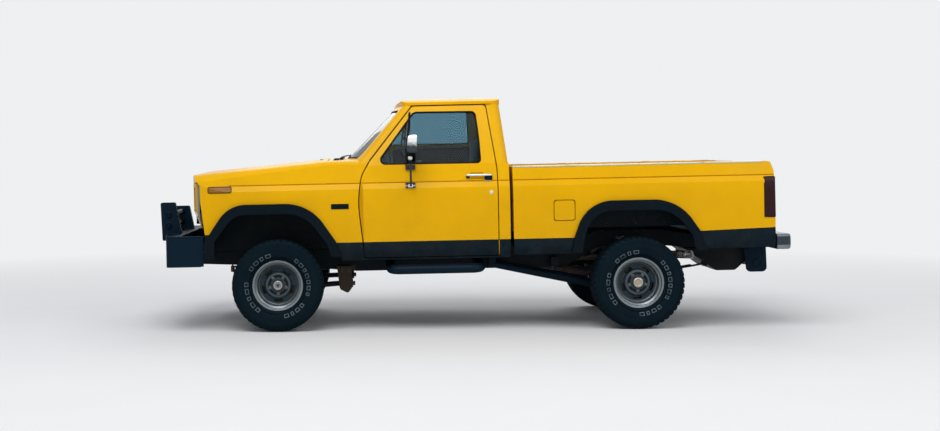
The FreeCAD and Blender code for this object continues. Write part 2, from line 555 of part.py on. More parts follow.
def make_axles():
    """Twin-beam front axle with radius arms, and a live rear axle, each with its differential housing."""
    half = [(-660, 352, 20), (-660, 408, 20), (-300, 440, 80), (120, 455, 20), (120, 400, 20), (-300, 362, 80)]
    beam = slab(half, "yz", -46, 14)
    pumpkin = Part.makeSphere(112, V(14, -230, 405))
    eye = rod((-60, 120, 430), (28, 120, 430), 36)
    yoke = [box((-34, 34), (-716, -655), (262, 292)), box((-34, 34), (-716, -655), (470, 500)),
            box((-34, 34), (-672, -640), (262, 500))]
    arm = pipe([(10, -560, 352), (120, -540, 330), (470, -445, 346), (585.8, -445, 346)], 22, 60)
    left = fuse(beam, pumpkin, eye, yoke, arm).cut(box((24, 100), (-120, 60), (360, 520)))
    half = [(660, 352, 20), (660, 408, 20), (300, 440, 80), (-60, 462, 20), (-60, 410, 20), (300, 362, 80)]
    beam = slab(half, "yz", 36, 84)
    eye = rod((30, -40, 436), (92, -40, 436), 32)
    link = box((20, 60), (600, 660), (360, 402))
    right = fuse(beam, [flip(s) for s in yoke], flip(arm), link, eye)
    parts["front_axle"] = Part.makeCompound([largest(left), largest(right)])
    tube = rod((WHEELBASE, -712, REAR_Z), (WHEELBASE, 712, REAR_Z), 42)
    centre = Part.makeSphere(150, V(WHEELBASE, 40, REAR_Z))
    snout = cone((WHEELBASE - 130, 40, REAR_Z), (WHEELBASE - 270, 40, REAR_Z + 8), 70, 44)
    plates = pair(rod((WHEELBASE, 700, REAR_Z), (WHEELBASE, 716, REAR_Z), 138))
    pads = pair(box((WHEELBASE - 60, WHEELBASE + 60), (470, 534), (REAR_Z - 58, REAR_Z + 50)))
    parts["rear_axle"] = fuse(tube, centre, snout, plates, pads)


def coil(centre, radius, wire, low, high, turns):
    """A coil spring made of half rings, each tipped so that the next starts where it ends."""
    pitch = (high - low) / turns
    tip = math.atan2(pitch / 2, 2 * radius)
    span = radius / math.cos(tip)
    halves = []
    for i in range(int(turns * 2)):
        side = 1 if i % 2 == 0 else -1
        ring = Part.makeTorus(span, wire, V(0, 0, 0), V(0, 0, 1), -180, 180, 180)
        if side < 0:
            ring.rotate(V(0, 0, 0), V(0, 0, 1), 180)
        ring.rotate(V(0, 0, 0), V(0, 1, 0), math.degrees(tip) * side)
        ring.translate(V(centre[0], centre[1], low + pitch / 2 * (i + 0.5)))
        halves.append(ring)
    return fuse(halves)


def make_suspension():
    """Front coils on their seats, rear leaf packs with hangers and shackles, and four telescopic dampers."""
    helix = coil((0, -545, 0), 58, 9, 452, 640, 4)
    seats = [rod((0, -545, 428), (0, -545, 452), 66), rod((0, -545, 640), (0, -545, 662), 66)]
    foot = box((-30, 30), (-585, -505), (423, 430))
    tower = box((-50, 50), (-590, -432.5), (655, 700))
    spring = fuse(helix, seats, foot, tower)
    sag = 3400.0
    leaves = []
    for i, reach in enumerate((640, 520, 400, 280)):
        radius = sag - 9 * i
        leaf = Part.makeCylinder(radius, 64, V(0, 0, 0), V(0, 1, 0), 360)
        leaf = leaf.cut(Part.makeCylinder(radius - 9.5, 64, V(0, 0, 0), V(0, 1, 0), 360))
        leaf = leaf.common(box((-reach, reach), (-1, 65), (-sag - 10, -sag + 300)))
        leaf.translate(V(WHEELBASE, -534, REAR_Z + 51 + sag))
        leaves.append(leaf)
    end_z = REAR_Z + 51 + sag - math.sqrt(sag ** 2 - 636 ** 2) + 8
    eyes = [rod((WHEELBASE + x, -534, end_z), (WHEELBASE + x, -470, end_z), 24) for x in (-636, 636)]
    hanger = box((WHEELBASE - 670, WHEELBASE - 600), (-550, -432.5), (end_z + 12, 540))
    shackle = box((WHEELBASE + 616, WHEELBASE + 656), (-550, -530), (end_z - 10, 640))
    mount = box((WHEELBASE + 606, WHEELBASE + 666), (-550, -432.5), (620, 660))
    pack = fuse(leaves, eyes, hanger, shackle, mount)
    parts["springs"] = Part.makeCompound(pair(spring) + pair(largest(pack)))
    dampers = []
    mounts = (((112, -500, 452), (128, -495, 640), 615), ((WHEELBASE + 74, -602, 325), (WHEELBASE - 90, -602, 700), 690))
    for base, top, pin_z in mounts:
        low, high = V(*base), V(*top)
        body = rod(tuple(low + (high - low) * 0.4), top, 30)
        shaft = rod(base, tuple(low + (high - low) * 0.5), 11)
        pin = rod((top[0], top[1], pin_z), (top[0], -432.5, pin_z), 12)
        dampers.append(fuse(body, shaft, pin))
    parts["dampers"] = Part.makeCompound([d for damper in dampers for d in pair(damper)])


def make_knuckle():
    """The left steering knuckle: kingpin boss, spindle plate, steering arm ahead of the axle, and stub axle."""
    post = rod((0, -KINGPIN_Y, 292.5), (0, -KINGPIN_Y, 469.5), 30)
    plate = rod((0, -764, WHEEL_Z), (0, -744, WHEEL_Z), 88)
    neck = rod((0, -750, WHEEL_Z), (0, -KINGPIN_Y, WHEEL_Z), 50)
    stub = rod((0, -868, WHEEL_Z), (0, -760, WHEEL_Z), 22)
    outline = [(-20, -740, 8), (20, -740, 8), (20, -692, 8), (-100, -700, 8), (-141, -700, 15),
               (-141, -732, 15), (-100, -732, 8)]
    arm = slab(outline, "xy", 345, 361)
    bore = rod((ARM_X, -KINGPIN_Y, 300), (ARM_X, -KINGPIN_Y, 400), 8.2)
    parts["knuckle_left"] = fuse(post, plate, neck, stub, arm).cut(bore)
    parts["knuckle_right"] = flip(parts["knuckle_left"])


def make_wheels():
    """Four wheels: each a five-slot rim with its hub, and a tyre with rounded shoulders."""
    dish = [(45, 30, 0), (72, 30, 4), (82, 46, 6), (98, 44, 6), (118, 24, 10), (150, 18, 10)]
    lip = [(163, 30, 6), (172, 70, 6), (188, 84, 5), (190, 101, 3), (RIM_R, 104, 2), (RIM_R, 96, 2), (197, 92, 3)]
    barrel = [(195, 80, 5), (178, 64, 6), (170, 20, 8), (170, -66, 6), (190, -84, 4), (192, -95, 1)]
    inner_lip = [(RIM_R, -97, 1), (RIM_R, -104, 2), (184, -104, 3), (182, -90, 4), (162, -70, 6), (162, 4, 6)]
    back = [(148, 9, 6), (116, 13, 6), (96, 32, 6), (84, 24, 4), (45, 8, 0)]
    rim = turned(dish + lip + barrel + inner_lip + back, (0, 0, 0))
    for i in range(5):
        window = slab([(-30, 106, 12), (30, 106, 12), (42, 138, 13), (-42, 138, 13)], "xz", -20, 70)
        window.rotate(V(0, 0, 0), V(0, 1, 0), 180 + 72 * i)
        rim = rim.cut(window)
    hub = [(0, 76, 0), (37, 76, 6), (37, 46, 0), (58, 44, 4), (66, -6, 0), (60, -14, 0), (23, -14, 0),
           (23, 44, 0), (0, 44, 0)]
    rim = fuse(rim, turned(hub, (0, 0, 0)))
    tread = [(197.6, 92.8, 0), (210, 97, 3), (246, 126, 60), (330, 131, 40), (372, 108, 12), (TYRE_R, 92, 12),
             (TYRE_R, -92, 12), (372, -108, 12), (330, -131, 40), (246, -126, 60), (210, -97, 3), (196, -94, 0)]
    tyre = turned(tread, (0, 0, 0)).cut(turned(hollow_rim(), (0, 0, 0)))
    places = [("front", 0, FRONT_WHEEL_Y, WHEEL_Z), ("rear", WHEELBASE, REAR_WHEEL_Y, REAR_Z)]
    for end, x, y, z in places:
        for side, sign in (("left", -1), ("right", 1)):
            for kind, shape in (("rim", rim), ("tire", tyre)):
                piece = shape.copy() if sign > 0 else flip(shape)
                piece.translate(V(x, sign * y, z))
                parts[f"{kind}_{end}_{side}"] = piece


def hollow_rim():
    """The rim's own outside, which the tyre fits round."""
    edge = RIM_R + 0.4
    return [(100, 104, 0), (edge, 104.4, 0), (edge, 95.4, 0), (197.6, 91.4, 0), (195.6, 79.6, 0),
            (178.6, 63.4, 0), (170.6, 20, 0), (170.6, -66.4, 0), (190.6, -84, 0), (192, -94.4, 0),
            (edge, -96.4, 0), (edge, -104.4, 0), (100, -104, 0)]


def make_steering():
    """The linkage moves as one parallelogram: two knuckle arms and the pitman arm, all ARM_X long."""
    cross = rod((ARM_X, -KINGPIN_Y, 330), (ARM_X, KINGPIN_Y, 330), 13)
    eyes = [rod((ARM_X, y, 326), (ARM_X, y, 344.7), 18) for y in (-KINGPIN_Y, KINGPIN_Y)]
    pins = [rod((ARM_X, y, 326), (ARM_X, y, 372), 7) for y in (-KINGPIN_Y, KINGPIN_Y)]
    stud = (PITMAN[0] + ARM_X, PITMAN[1])
    link = rod((ARM_X, -520, 330), (stud[0], stud[1], 465), 12)
    tip = rod((stud[0], stud[1], 455), (stud[0], stud[1], 489.7), 17)
    pin = rod((stud[0], stud[1], 455), (stud[0], stud[1], 515), 7)
    parts["steering_linkage"] = fuse(cross, eyes, pins, link, tip, pin)
    ends = [(PITMAN[0] + 22, PITMAN[1] - 22, 20), (PITMAN[0] + 22, PITMAN[1] + 22, 20),
            (stud[0] - 16, stud[1] + 16, 15), (stud[0] - 16, stud[1] - 16, 15)]
    arm = slab(ends, "xy", 490, 506).cut(rod((*stud, 480), (*stud, 520), 8.2))
    parts["pitman_arm"] = fuse(arm, rod((*PITMAN, 500), (*PITMAN, 529.4), 15))
    case = [(-55, -366.5, 8), (-55, -245, 20), (70, -245, 20), (70, -366.5, 8)]
    parts["steering_box"] = slab([(PITMAN[0] + x, y, r) for x, y, r in case], "xy", 530, 640)
    centre = V(*WHEEL_HUB)
    axis = V(-math.cos(math.radians(COLUMN_DEG)), 0, -math.sin(math.radians(COLUMN_DEG)))
    ring = Part.makeTorus(186, 13, centre, axis)
    spokes = []
    for turn in (0, 120, 240):
        spoke = Part.makeBox(180, 30, 12, V(0, -15, -6))
        spoke.rotate(V(0, 0, 0), V(0, 0, 1), turn - 90)
        spoke.rotate(V(0, 0, 0), V(0, 1, 0), 90 - COLUMN_DEG)
        spoke.translate(centre)
        spokes.append(spoke)
    boss = Part.makeCylinder(46, 40, centre - axis * 20, axis)
    parts["steering_wheel"] = fuse(ring, spokes, boss)
    column = Part.makeCylinder(32, 300, centre + axis * 26, axis)
    profile = [(672, 1338, 20), (905, 1334, 45), (968, 1290, 60), (950, 1060, 40), (820, 1000, 60), (672, 990, 10)]
    dash = slab(profile, "xz", -872, 872)
    parts["dashboard"] = fuse(dash, column)


def make_running_gear():
    """Engine, gearbox, shafts, exhaust, tank and the bars under the body."""
    parts["engine"] = box((-90, 515), (-255, 255), (612, 1120))
    bell = slab([(520, -200, 0), (650, -120, 0), (1180, -100, 0), (1180, 100, 0), (650, 120, 0), (520, 200, 0)],
                "xy", 575, 745)
    parts["gearbox"] = fuse(bell, box((1150, 1420), (-190, 110), (570, 645)))
    front_shaft = rod((1142, -150, 606), (136, -226, 432), 24)
    rear_shaft = rod((1430, 0, 605), (WHEELBASE - 280, 38, REAR_Z + 22), 36)
    parts["driveshafts"] = Part.makeCompound([front_shaft, rear_shaft])
    lead = pipe([(300, -300, 720), (520, -300, 602), (1560, -300, 602)], 26, 90)
    muffler = rod((1540, -292, 580), (1980, -292, 580), 62)
    tail = pipe([(1900, -292, 560), (2010, -292, 512), (3120, -292, 520), (3240, -420, 545), (3420, -700, 548)], 26, 80)
    tip = rod((3330, -634, 547), (3444, -734, 548), 34).cut(rod((3400, -704, 547.6), (3460, -750, 548), 29))
    parts["exhaust"] = fuse(lead, muffler, tail, tip)
    tank = [(3600, 600, 30), (3560, 573, 10), (3475, 573, 8), (3738, 379, 45), (3905, 379, 40), (4010, 470, 40),
            (4010, 600, 10)]
    parts["fuel_tank"] = slab(tank, "xz", -340, 340)
    bar = pipe([(935, -435.5, 520), (935, -900, 487), (1677, -900, 487), (1677, -435.5, 520)], 38, 80)
    parts["step_bars"] = Part.makeCompound(pair(bar))
    ladder = rod((1800, -500, 493), (2925, -502, 243), 33)
    front_foot = box((1770, 1830), (-530, -432.5), (462, 560))
    rear_foot = box((2905, 2950), (-530, -474), (215, 280.4))
    parts["traction_bars"] = Part.makeCompound(pair(fuse(ladder, front_foot, rear_foot)))


def make_interior():
    """A bench seat across the cab."""
    cushion = slab([(1240, 890, 20), (1240, 1050, 60), (1700, 1010, 20), (1700, 880, 20)], "xz", -690, 690)
    back = slab([(1668, 900, 30), (1700, 1480, 40), (1800, 1480, 40), (1838, 900, 20)], "xz", -690, 690)
    base = box((1310, 1700), (-640, 640), (672.5, 900))
    parts["seat"] = fuse(cushion, back, base)


def make_engine_bay():
    """Inner aprons with shelves over the wheels, and the radiator in its support ahead of the engine."""
    apron = box((-580, 636), (-508, -498), (648, 1222)).cut(box((-60, 60), (-600, -400), (640, 710)))
    shelf = box((-580, 636), (-930, -500), (1108, 1118))
    panel = box((-590, -574), (-880, 880), (645, 1226))
    panel = panel.cut(slab([(-380, 700, 20), (380, 700, 20), (380, 1170, 20), (-380, 1170, 20)], "yz", -700, -500))
    radiator = box((-584, -523), (-392, 392), (690, 1180))
    parts["engine_bay"] = fuse(pair(apron), pair(shelf), panel, radiator)


def make_mirrors():
    """Swing-out mirrors: a rounded head on a tube post and stay that stand on two feet on the door."""
    side = [(1078, 1452, 18), (1160, 1442, 12), (1160, 1593, 12), (1092, 1593, 30)]
    face = [(-1172, 1442, 26), (-1012, 1442, 26), (-1012, 1593, 26), (-1172, 1593, 26)]
    head = slab(side, "xz", -1172, -1012).common(slab(face, "yz", 1070, 1165))
    corner = (1108, -1068, 1182)
    post = fuse(rod((1108, -984, 1182), corner, 9), Part.makeSphere(9, V(*corner)), rod(corner, (1108, -1078, 1470), 9))
    stay = rod((1108, -940, 1330), (1108, -1078, 1372), 9)
    low_foot = slab([(-978.2, 1160, 0), (-959.35, 1204, 0), (-990, 1204, 0), (-990, 1160, 0)], "yz", 1066, 1147)
    high_foot = slab([(-934.9, 1308, 0), (-925.4, 1349, 0), (-946, 1349, 0), (-950, 1308, 0)], "yz", 1069, 1150)
    parts["mirror_left"] = fuse(head, post, stay, low_foot, high_foot)
    parts["mirror_right"] = flip(parts["mirror_left"])


def make_all():
    make_body()
    make_handle()
    make_front()
    make_flares()
    make_bed()
    make_grille()
    make_lamps()
    make_bumpers()
    make_hitch()
    make_frame()
    make_axles()
    make_suspension()
    make_knuckle()
    make_wheels()
    make_steering()
    make_running_gear()
    make_interior()
    make_engine_bay()
    make_mirrors()


def seat(shape):
    """Sets a piece on the road: nose-down by the rake about the front wheel centre, then centred."""
    set_down = shape.copy()
    set_down.rotate(V(0, 0, WHEEL_Z), V(0, 1, 0), -RAKE_DEG)
    set_down.translate(V(-middle_x(), 0, 0))
    return set_down


def middle_x():
    """Half way between the front and rear tips, as they stand once the truck is nose-down."""
    lean = math.radians(RAKE_DEG)
    tips = [x * math.cos(lean) - (z - WHEEL_Z) * math.sin(lean) for x, z in (FRONT_TIP, REAR_TIP)]
    return sum(tips) / 2


os.makedirs("parts", exist_ok=True)
make_all()
for name, shape in parts.items():
    Part.makeCompound(seat(shape).Solids).exportStep(f"parts/{name}.step")
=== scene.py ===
"""Dresses the pickup truck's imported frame: paint, tires, wheels, trim, cabin and running gear."""
import bpy
import json
from math import ceil, copysign, cos, pi, radians, sin, tan, tau
from mathutils import Matrix, Vector, bvhtree


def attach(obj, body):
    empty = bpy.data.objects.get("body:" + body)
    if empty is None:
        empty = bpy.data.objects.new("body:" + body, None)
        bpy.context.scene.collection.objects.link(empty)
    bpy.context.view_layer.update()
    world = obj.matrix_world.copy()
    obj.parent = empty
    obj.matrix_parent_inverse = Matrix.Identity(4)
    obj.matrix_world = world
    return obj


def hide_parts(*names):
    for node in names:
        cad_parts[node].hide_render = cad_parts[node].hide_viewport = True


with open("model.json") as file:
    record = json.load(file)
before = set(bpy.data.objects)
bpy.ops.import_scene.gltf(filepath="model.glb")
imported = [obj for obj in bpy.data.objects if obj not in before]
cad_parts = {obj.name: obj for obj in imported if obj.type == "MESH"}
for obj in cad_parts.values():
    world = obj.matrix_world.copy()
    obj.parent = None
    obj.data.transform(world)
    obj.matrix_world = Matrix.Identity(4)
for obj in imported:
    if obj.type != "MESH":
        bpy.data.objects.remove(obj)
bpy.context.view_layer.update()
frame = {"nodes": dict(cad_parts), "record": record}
nodes = frame["nodes"]
SIDES = (("left", -1), ("right", 1))
AFT, AHEAD, UP, DOWN = (1, 0, 0), (-1, 0, 0), (0, 0, 1), (0, 0, -1)

# The body stands nose-down. Pieces are drawn level, in mm behind the front wheel centre, then seated.
RAKE = radians(0.79)
MID_X = 1597.195
WHEELBASE = 2967.0
REAR_Z = 380 - WHEELBASE * tan(RAKE)
BED_FLOOR = 824.0
# How far out a line starts that looks for a surface
OUTSIDE = 1200
BACKDROP = (0.86, 0.87, 0.88)
SEAT = (Matrix.Scale(0.001, 4) @ Matrix.Translation((-MID_X, 0, 380)) @ Matrix.Rotation(-RAKE, 4, "Y")
        @ Matrix.Translation((0, 0, -380)))
LEVEL = SEAT.inverted()
WHEELS = [("front", "left", 0, -827, 380), ("front", "right", 0, 827, 380),
          ("rear", "left", WHEELBASE, -818, REAR_Z), ("rear", "right", WHEELBASE, 818, REAR_Z)]
WINDOW = [(822, 1353, 42), (1693, 1350, 32), (1686, 1560, 2000), (1664, 1783, 42), (1148, 1787, 60)]


# Shaders

class Shader:
    """A node material, built up by short calls."""

    def __init__(self, name, colour, rough=0.5, metal=0.0, **more):
        self.mat = bpy.data.materials.new(name)
        self.mat.use_nodes = True
        self.tree = self.mat.node_tree
        self.bsdf = self.tree.nodes["Principled BSDF"]
        self.put(**{"Base Color": (*colour, 1), "Roughness": rough, "Metallic": metal})
        for key, value in more.items():
            self.bsdf.inputs[key.replace("_", " ")].default_value = value
        coords = self.new("ShaderNodeTexCoord")
        self.place = coords.outputs["Object"]
        self.normal = coords.outputs["Normal"]

    def join(self, node, key, value):
        """Sets a socket to a value, or links it to another node's output."""
        if hasattr(value, "is_linked"):
            self.tree.links.new(value, node.inputs[key])
        else:
            node.inputs[key].default_value = value

    def put(self, **sockets):
        for key, value in sockets.items():
            self.join(self.bsdf, key, value)

    def new(self, kind, values=(), **settings):
        node = self.tree.nodes.new(kind)
        for key, value in settings.items():
            setattr(node, key, value)
        for key, value in dict(values).items():
            self.join(node, key, value)
        return node

    def noise(self, scale, detail, rough=0.55):
        values = {"Vector": self.place, "Scale": scale, "Detail": detail, "Roughness": rough}
        return self.new("ShaderNodeTexNoise", values).outputs[0]

    def wave(self, scale, way):
        values = {"Vector": self.place, "Scale": scale}
        return self.new("ShaderNodeTexWave", values, bands_direction=way).outputs[1]

    def step(self, value, low, high):
        """0 below one value and 1 above another, or the other way round."""
        values = {"Value": value, "From Min": low, "From Max": high}
        return self.new("ShaderNodeMapRange", values).outputs[0]

    def maths(self, operation, a, b=0.0, clamp=False):
        return self.new("ShaderNodeMath", {0: a, 1: b}, operation=operation, use_clamp=clamp).outputs[0]

    def mix(self, share, a, b):
        node = self.new("ShaderNodeMix", data_type="RGBA")
        self.join(node, 0, share)
        for key, value in ((6, a), (7, b)):
            self.join(node, key, value if hasattr(value, "is_linked") else (*value, 1))
        return node.outputs[2]

    def axis(self, name, of=None):
        """One coordinate of a place, or of another vector."""
        return self.new("ShaderNodeSeparateXYZ", {0: of or self.place}).outputs["XYZ".index(name)]

    def level_x(self):
        """Distance in metres behind the front wheel centre."""
        return self.maths("ADD", self.axis("X"), MID_X / 1000)

    def outward(self):
        """How far a surface faces away from the truck's middle plane, from -1 to 1."""
        return self.times(self.axis("Y", self.normal), self.maths("SIGN", self.axis("Y")))

    def add(self, first, *others):
        for other in others:
            first = self.maths("ADD", first, other, True)
        return first

    def less(self, first, other):
        return self.maths("SUBTRACT", first, other)

    def times(self, first, *others):
        for other in others:
            first = self.maths("MULTIPLY", first, other)
        return first

    def level_z(self):
        """Height in metres in the body's own level frame."""
        lean = self.times(self.level_x(), sin(RAKE))
        return self.less(self.axis("Z"), lean)

    def bump(self, height, strength, distance=0.001):
        node = self.new("ShaderNodeBump", {"Height": height, "Strength": strength, "Distance": distance})
        self.put(Normal=node.outputs[0])

    def dusty(self, base, dust=(0.16, 0.14, 0.12), low=0.1, high=0.9, amount=0.5):
        """Road dust: thicker low down and in patches."""
        height = self.step(self.axis("Z"), high, low)
        patch = self.step(self.noise(6, 8), 0.4, 0.7)
        return self.mix(self.times(height, patch, amount), base, dust)


def undercoat(inner_top, reach=0.5):
    """Where black undercoat shows: inward faces below a height, outward faces in reach, and undersides."""
    def share(s):
        z = s.level_z()
        out = s.outward()
        inward = s.times(s.step(out, -0.2, -0.3), s.step(z, inner_top + 0.002, inner_top))
        hidden = s.times(s.step(out, 0.2, 0.3), s.step(s.maths("ABSOLUTE", s.axis("Y")), reach,
                                                       reach - 0.002), s.step(z, 1.152, 1.15))
        below = s.times(s.step(s.axis("Z", s.normal), -0.5, -0.6), s.step(z, 1.152, 1.15))
        return s.add(inward, hidden, below)
    return share


def enamel(name, colour, border=False, cover=None):
    """Glossy enamel a few decades old: faint fading, dust low down, chips, and the black lower border."""
    s = Shader(name, colour, 0.3, Coat_Weight=0.09, Coat_Roughness=0.08, Specular_IOR_Level=0.04)
    faded = tuple(c * 0.95 for c in colour)
    base = s.mix(s.step(s.noise(2.2, 6), 0.42, 0.62), colour, faded)
    rough = s.new("ShaderNodeMapRange", {"Value": s.noise(9, 6), "From Min": 0.2, "From Max": 0.9,
                                         "To Min": 0.2, "To Max": 0.42}).outputs[0]
    chips = s.step(s.noise(160, 3), 0.76, 0.78)
    base = s.mix(s.times(chips, 0.5), base, (0.1, 0.07, 0.05))
    base = s.mix(s.times(s.step(s.noise(5, 9), 0.45, 0.8), 0.1), base, (0.3, 0.18, 0.02))
    black_share = cover(s) if cover else 0.0
    if border:
        x = s.level_x()
        rise = s.maths("ADD", s.times(x, 0.029), 0.758 - 3.499 * 0.029)
        line = s.mix(s.maths("GREATER_THAN", x, 2.95), (0.7235,) * 3, rise)
        wavy = s.times(s.noise(60, 2), 0.003)
        below = s.less(s.maths("ADD", line, wavy), s.level_z())
        toe = s.times(s.step(x, -0.45, -0.46), s.step(s.level_z(), 0.811, 0.81))
        black_share = s.add(s.step(below, -0.0005, 0.0005), toe, black_share)
    if border or cover:
        dull = s.mix(s.step(s.noise(14, 8), 0.5, 0.75), BLACK, tuple(c * 1.8 for c in BLACK))
        base = s.mix(black_share, base, dull)
    base = s.dusty(base, (0.1, 0.08, 0.05), low=0.35, high=0.95, amount=0.14)
    s.put(**{"Base Color": base, "Roughness": rough})
    s.bump(s.noise(420, 2), 0.03, 0.0004)
    return s.mat


def worn(name, colour, rough, metal, wear, at, dust, change=None, grain=240, strength=0.25, **more):
    """Paint or bare metal that has spent years outdoors: blotches of wear or rust above a level, and dust.

    change takes the shader, its colour and its metal share, and gives both back, altered in some places."""
    s = Shader(name, colour, rough, metal, **{"Specular_IOR_Level": 0.5 if metal else 0.07, **more})
    patches = s.step(s.maths("ADD", s.noise(7, 9, rough=0.7), s.times(s.noise(60, 4), 0.18)), at, at + 0.12)
    deep = s.mix(s.step(s.noise(30, 6), 0.35, 0.7), wear, tuple(c * 0.45 for c in wear))
    shade = s.mix(s.step(s.noise(3, 5), 0.35, 0.7), colour, tuple(c * 0.72 for c in colour))
    shine = s.times(s.less(1.0, patches), metal)
    if change:
        shade, shine = change(s, shade, shine)
    base = s.dusty(s.mix(patches, shade, deep), low=0.1, high=0.8, amount=dust)
    roughness = s.step(s.maths("ADD", s.noise(22, 6), s.times(patches, 0.6)), -0.6 * rough, 1.6)
    s.put(**{"Base Color": base, "Roughness": roughness})
    if metal or change:
        s.put(Metallic=shine)
    s.bump(s.noise(grain, 5), strength, 0.0006)
    return s.mat


def rim_painted_shade(x, z):
    """Painted shade on a wheel: a dark dish inside a bright lip, by distance from the wheel's axis."""
    def change(s, shade, shine):
        across = s.less(s.axis("X"), x)
        up = s.less(s.axis("Z"), z)
        radius = s.maths("SQRT", s.maths("ADD", s.times(across, across), s.times(up, up)))
        dish = s.times(s.step(radius, 0.158, 0.154), s.step(radius, 0.04, 0.044))
        band = s.times(s.step(radius, 0.104, 0.101), s.step(radius, 0.086, 0.089))
        # The dish is darkened and dulled as painted shade, a little less on the band.
        dark = s.times(dish, s.less(1.0, s.times(band, 0.3)))
        shine = s.times(shine, s.less(1.0, s.times(dark, 0.85)))
        return s.mix(s.times(dark, 0.97), shade, (0.014, 0.028, 0.04)), shine
    return change


def within(low, high, colour, metal, of="level_x"):
    """Another finish between two values of a measure, such as the distance behind the front wheel."""
    def change(s, shade, shine):
        where = getattr(s, of)()
        share = s.times(s.step(where, low - 0.0005, low + 0.0005),
                        s.step(where, high + 0.0005, high - 0.0005))
        return s.mix(share, shade, colour), s.mix(share, shine, (metal,) * 3)
    return change


def mirror_painted_reflection(s, shade, shine):
    """A mirror head's chrome with a painted reflection: bright at its top and dark lower down, over black
    brackets.
    """
    z = s.level_z()
    head = s.step(z, 1.429, 1.431)
    # Painted reflection: sky-bright above, dark below.
    painted_reflection_share = s.step(s.maths("ADD", z, s.times(s.noise(40, 4), 0.06)), 1.53, 1.57)
    chrome = s.mix(painted_reflection_share, (0.05, 0.06, 0.065), (0.8, 0.82, 0.83))
    return s.mix(head, shade, chrome), s.mix(head, shine, (0.9,) * 3)


def frame_tone(s, shade, shine):
    """Rust on the brackets that carry the radius arms."""
    x = s.level_x()
    rust = s.times(s.step(x, 0.47, 0.48), s.step(x, 0.64, 0.63), s.step(s.level_z(), 0.5, 0.49))
    return s.mix(s.times(rust, 0.75), shade, (0.075, 0.052, 0.034)), shine


def grille_tone(s, shade, shine):
    """Yellow front faces and grey sides round the black crossing bars."""
    y = s.maths("ABSOLUTE", s.axis("Y"))
    z = s.level_z()
    inside = s.times(s.step(y, 0.569, 0.567), s.step(z, 0.881, 0.883), s.step(z, 1.207, 1.205))
    front = s.step(s.axis("X", s.normal), -0.6, -0.7)
    surround = s.mix(front, (0.16, 0.2, 0.24), (0.55, 0.31, 0.01))
    return s.mix(inside, surround, shade), shine


def bed_tone(s, shade, shine):
    """Undercoat on the load bed's outward faces and undersides, and on the sills below its floor."""
    sills = s.times(s.step(s.level_z(), 0.815, 0.813), s.step(s.level_x(), 4.06, 4.05))
    hidden = s.add(s.step(s.outward(), 0.4, 0.5), s.step(s.axis("Z", s.normal), -0.3, -0.4), sills)
    return s.mix(hidden, shade, BLACK), shine


def cloth(name, colour, scale=900):
    """Woven cloth, a little faded in patches."""
    s = Shader(name, colour, 0.85, Sheen_Weight=0.3)
    weave = s.times(s.wave(scale / 6, "X"), s.wave(scale / 6, "Y"))
    base = s.mix(s.step(s.noise(5, 6), 0.3, 0.7), colour, tuple(c * 0.7 for c in colour))
    s.put(**{"Base Color": s.mix(s.times(weave, 0.35), base, tuple(c * 0.4 for c in colour))})
    s.bump(s.maths("ADD", weave, s.noise(scale, 2)), 0.4, 0.0008)
    return s.mat


def lens(name, colour, clear, coat):
    """Moulded lamp plastic with fine vertical ribs."""
    s = Shader(name, colour, 0.12, Transmission_Weight=clear, IOR=1.49, Coat_Weight=coat, Coat_Roughness=0.05,
               Specular_IOR_Level=0.5 * coat)
    ribs = s.wave(60.0, "DIAGONAL")
    s.put(**{"Base Color": s.mix(s.step(s.noise(12, 6), 0.3, 0.8), colour, tuple(c * 0.6 for c in colour))})
    s.bump(ribs, 0.25, 0.001)
    return s.mat


def rubber(name, colour=(0.0015, 0.0075, 0.0125), dust=(0.006, 0.013, 0.018)):
    """Tire rubber: dust in the tread and a bloom on the wall."""
    s = Shader(name, colour, 0.8, Specular_IOR_Level=0.06)
    bloom = s.step(s.noise(9, 9, rough=0.7), 0.35, 0.8)
    fine = s.step(s.noise(90, 6), 0.4, 0.75)
    base = s.mix(s.times(bloom, 0.55), colour, dust)
    s.put(**{"Base Color": s.mix(s.times(fine, 0.3), base, tuple(c * 0.5 for c in colour))})
    s.put(Roughness=s.step(s.noise(16, 5), -1.2, 1.1))
    s.bump(s.noise(300, 6), 0.3, 0.0008)
    return s.mat


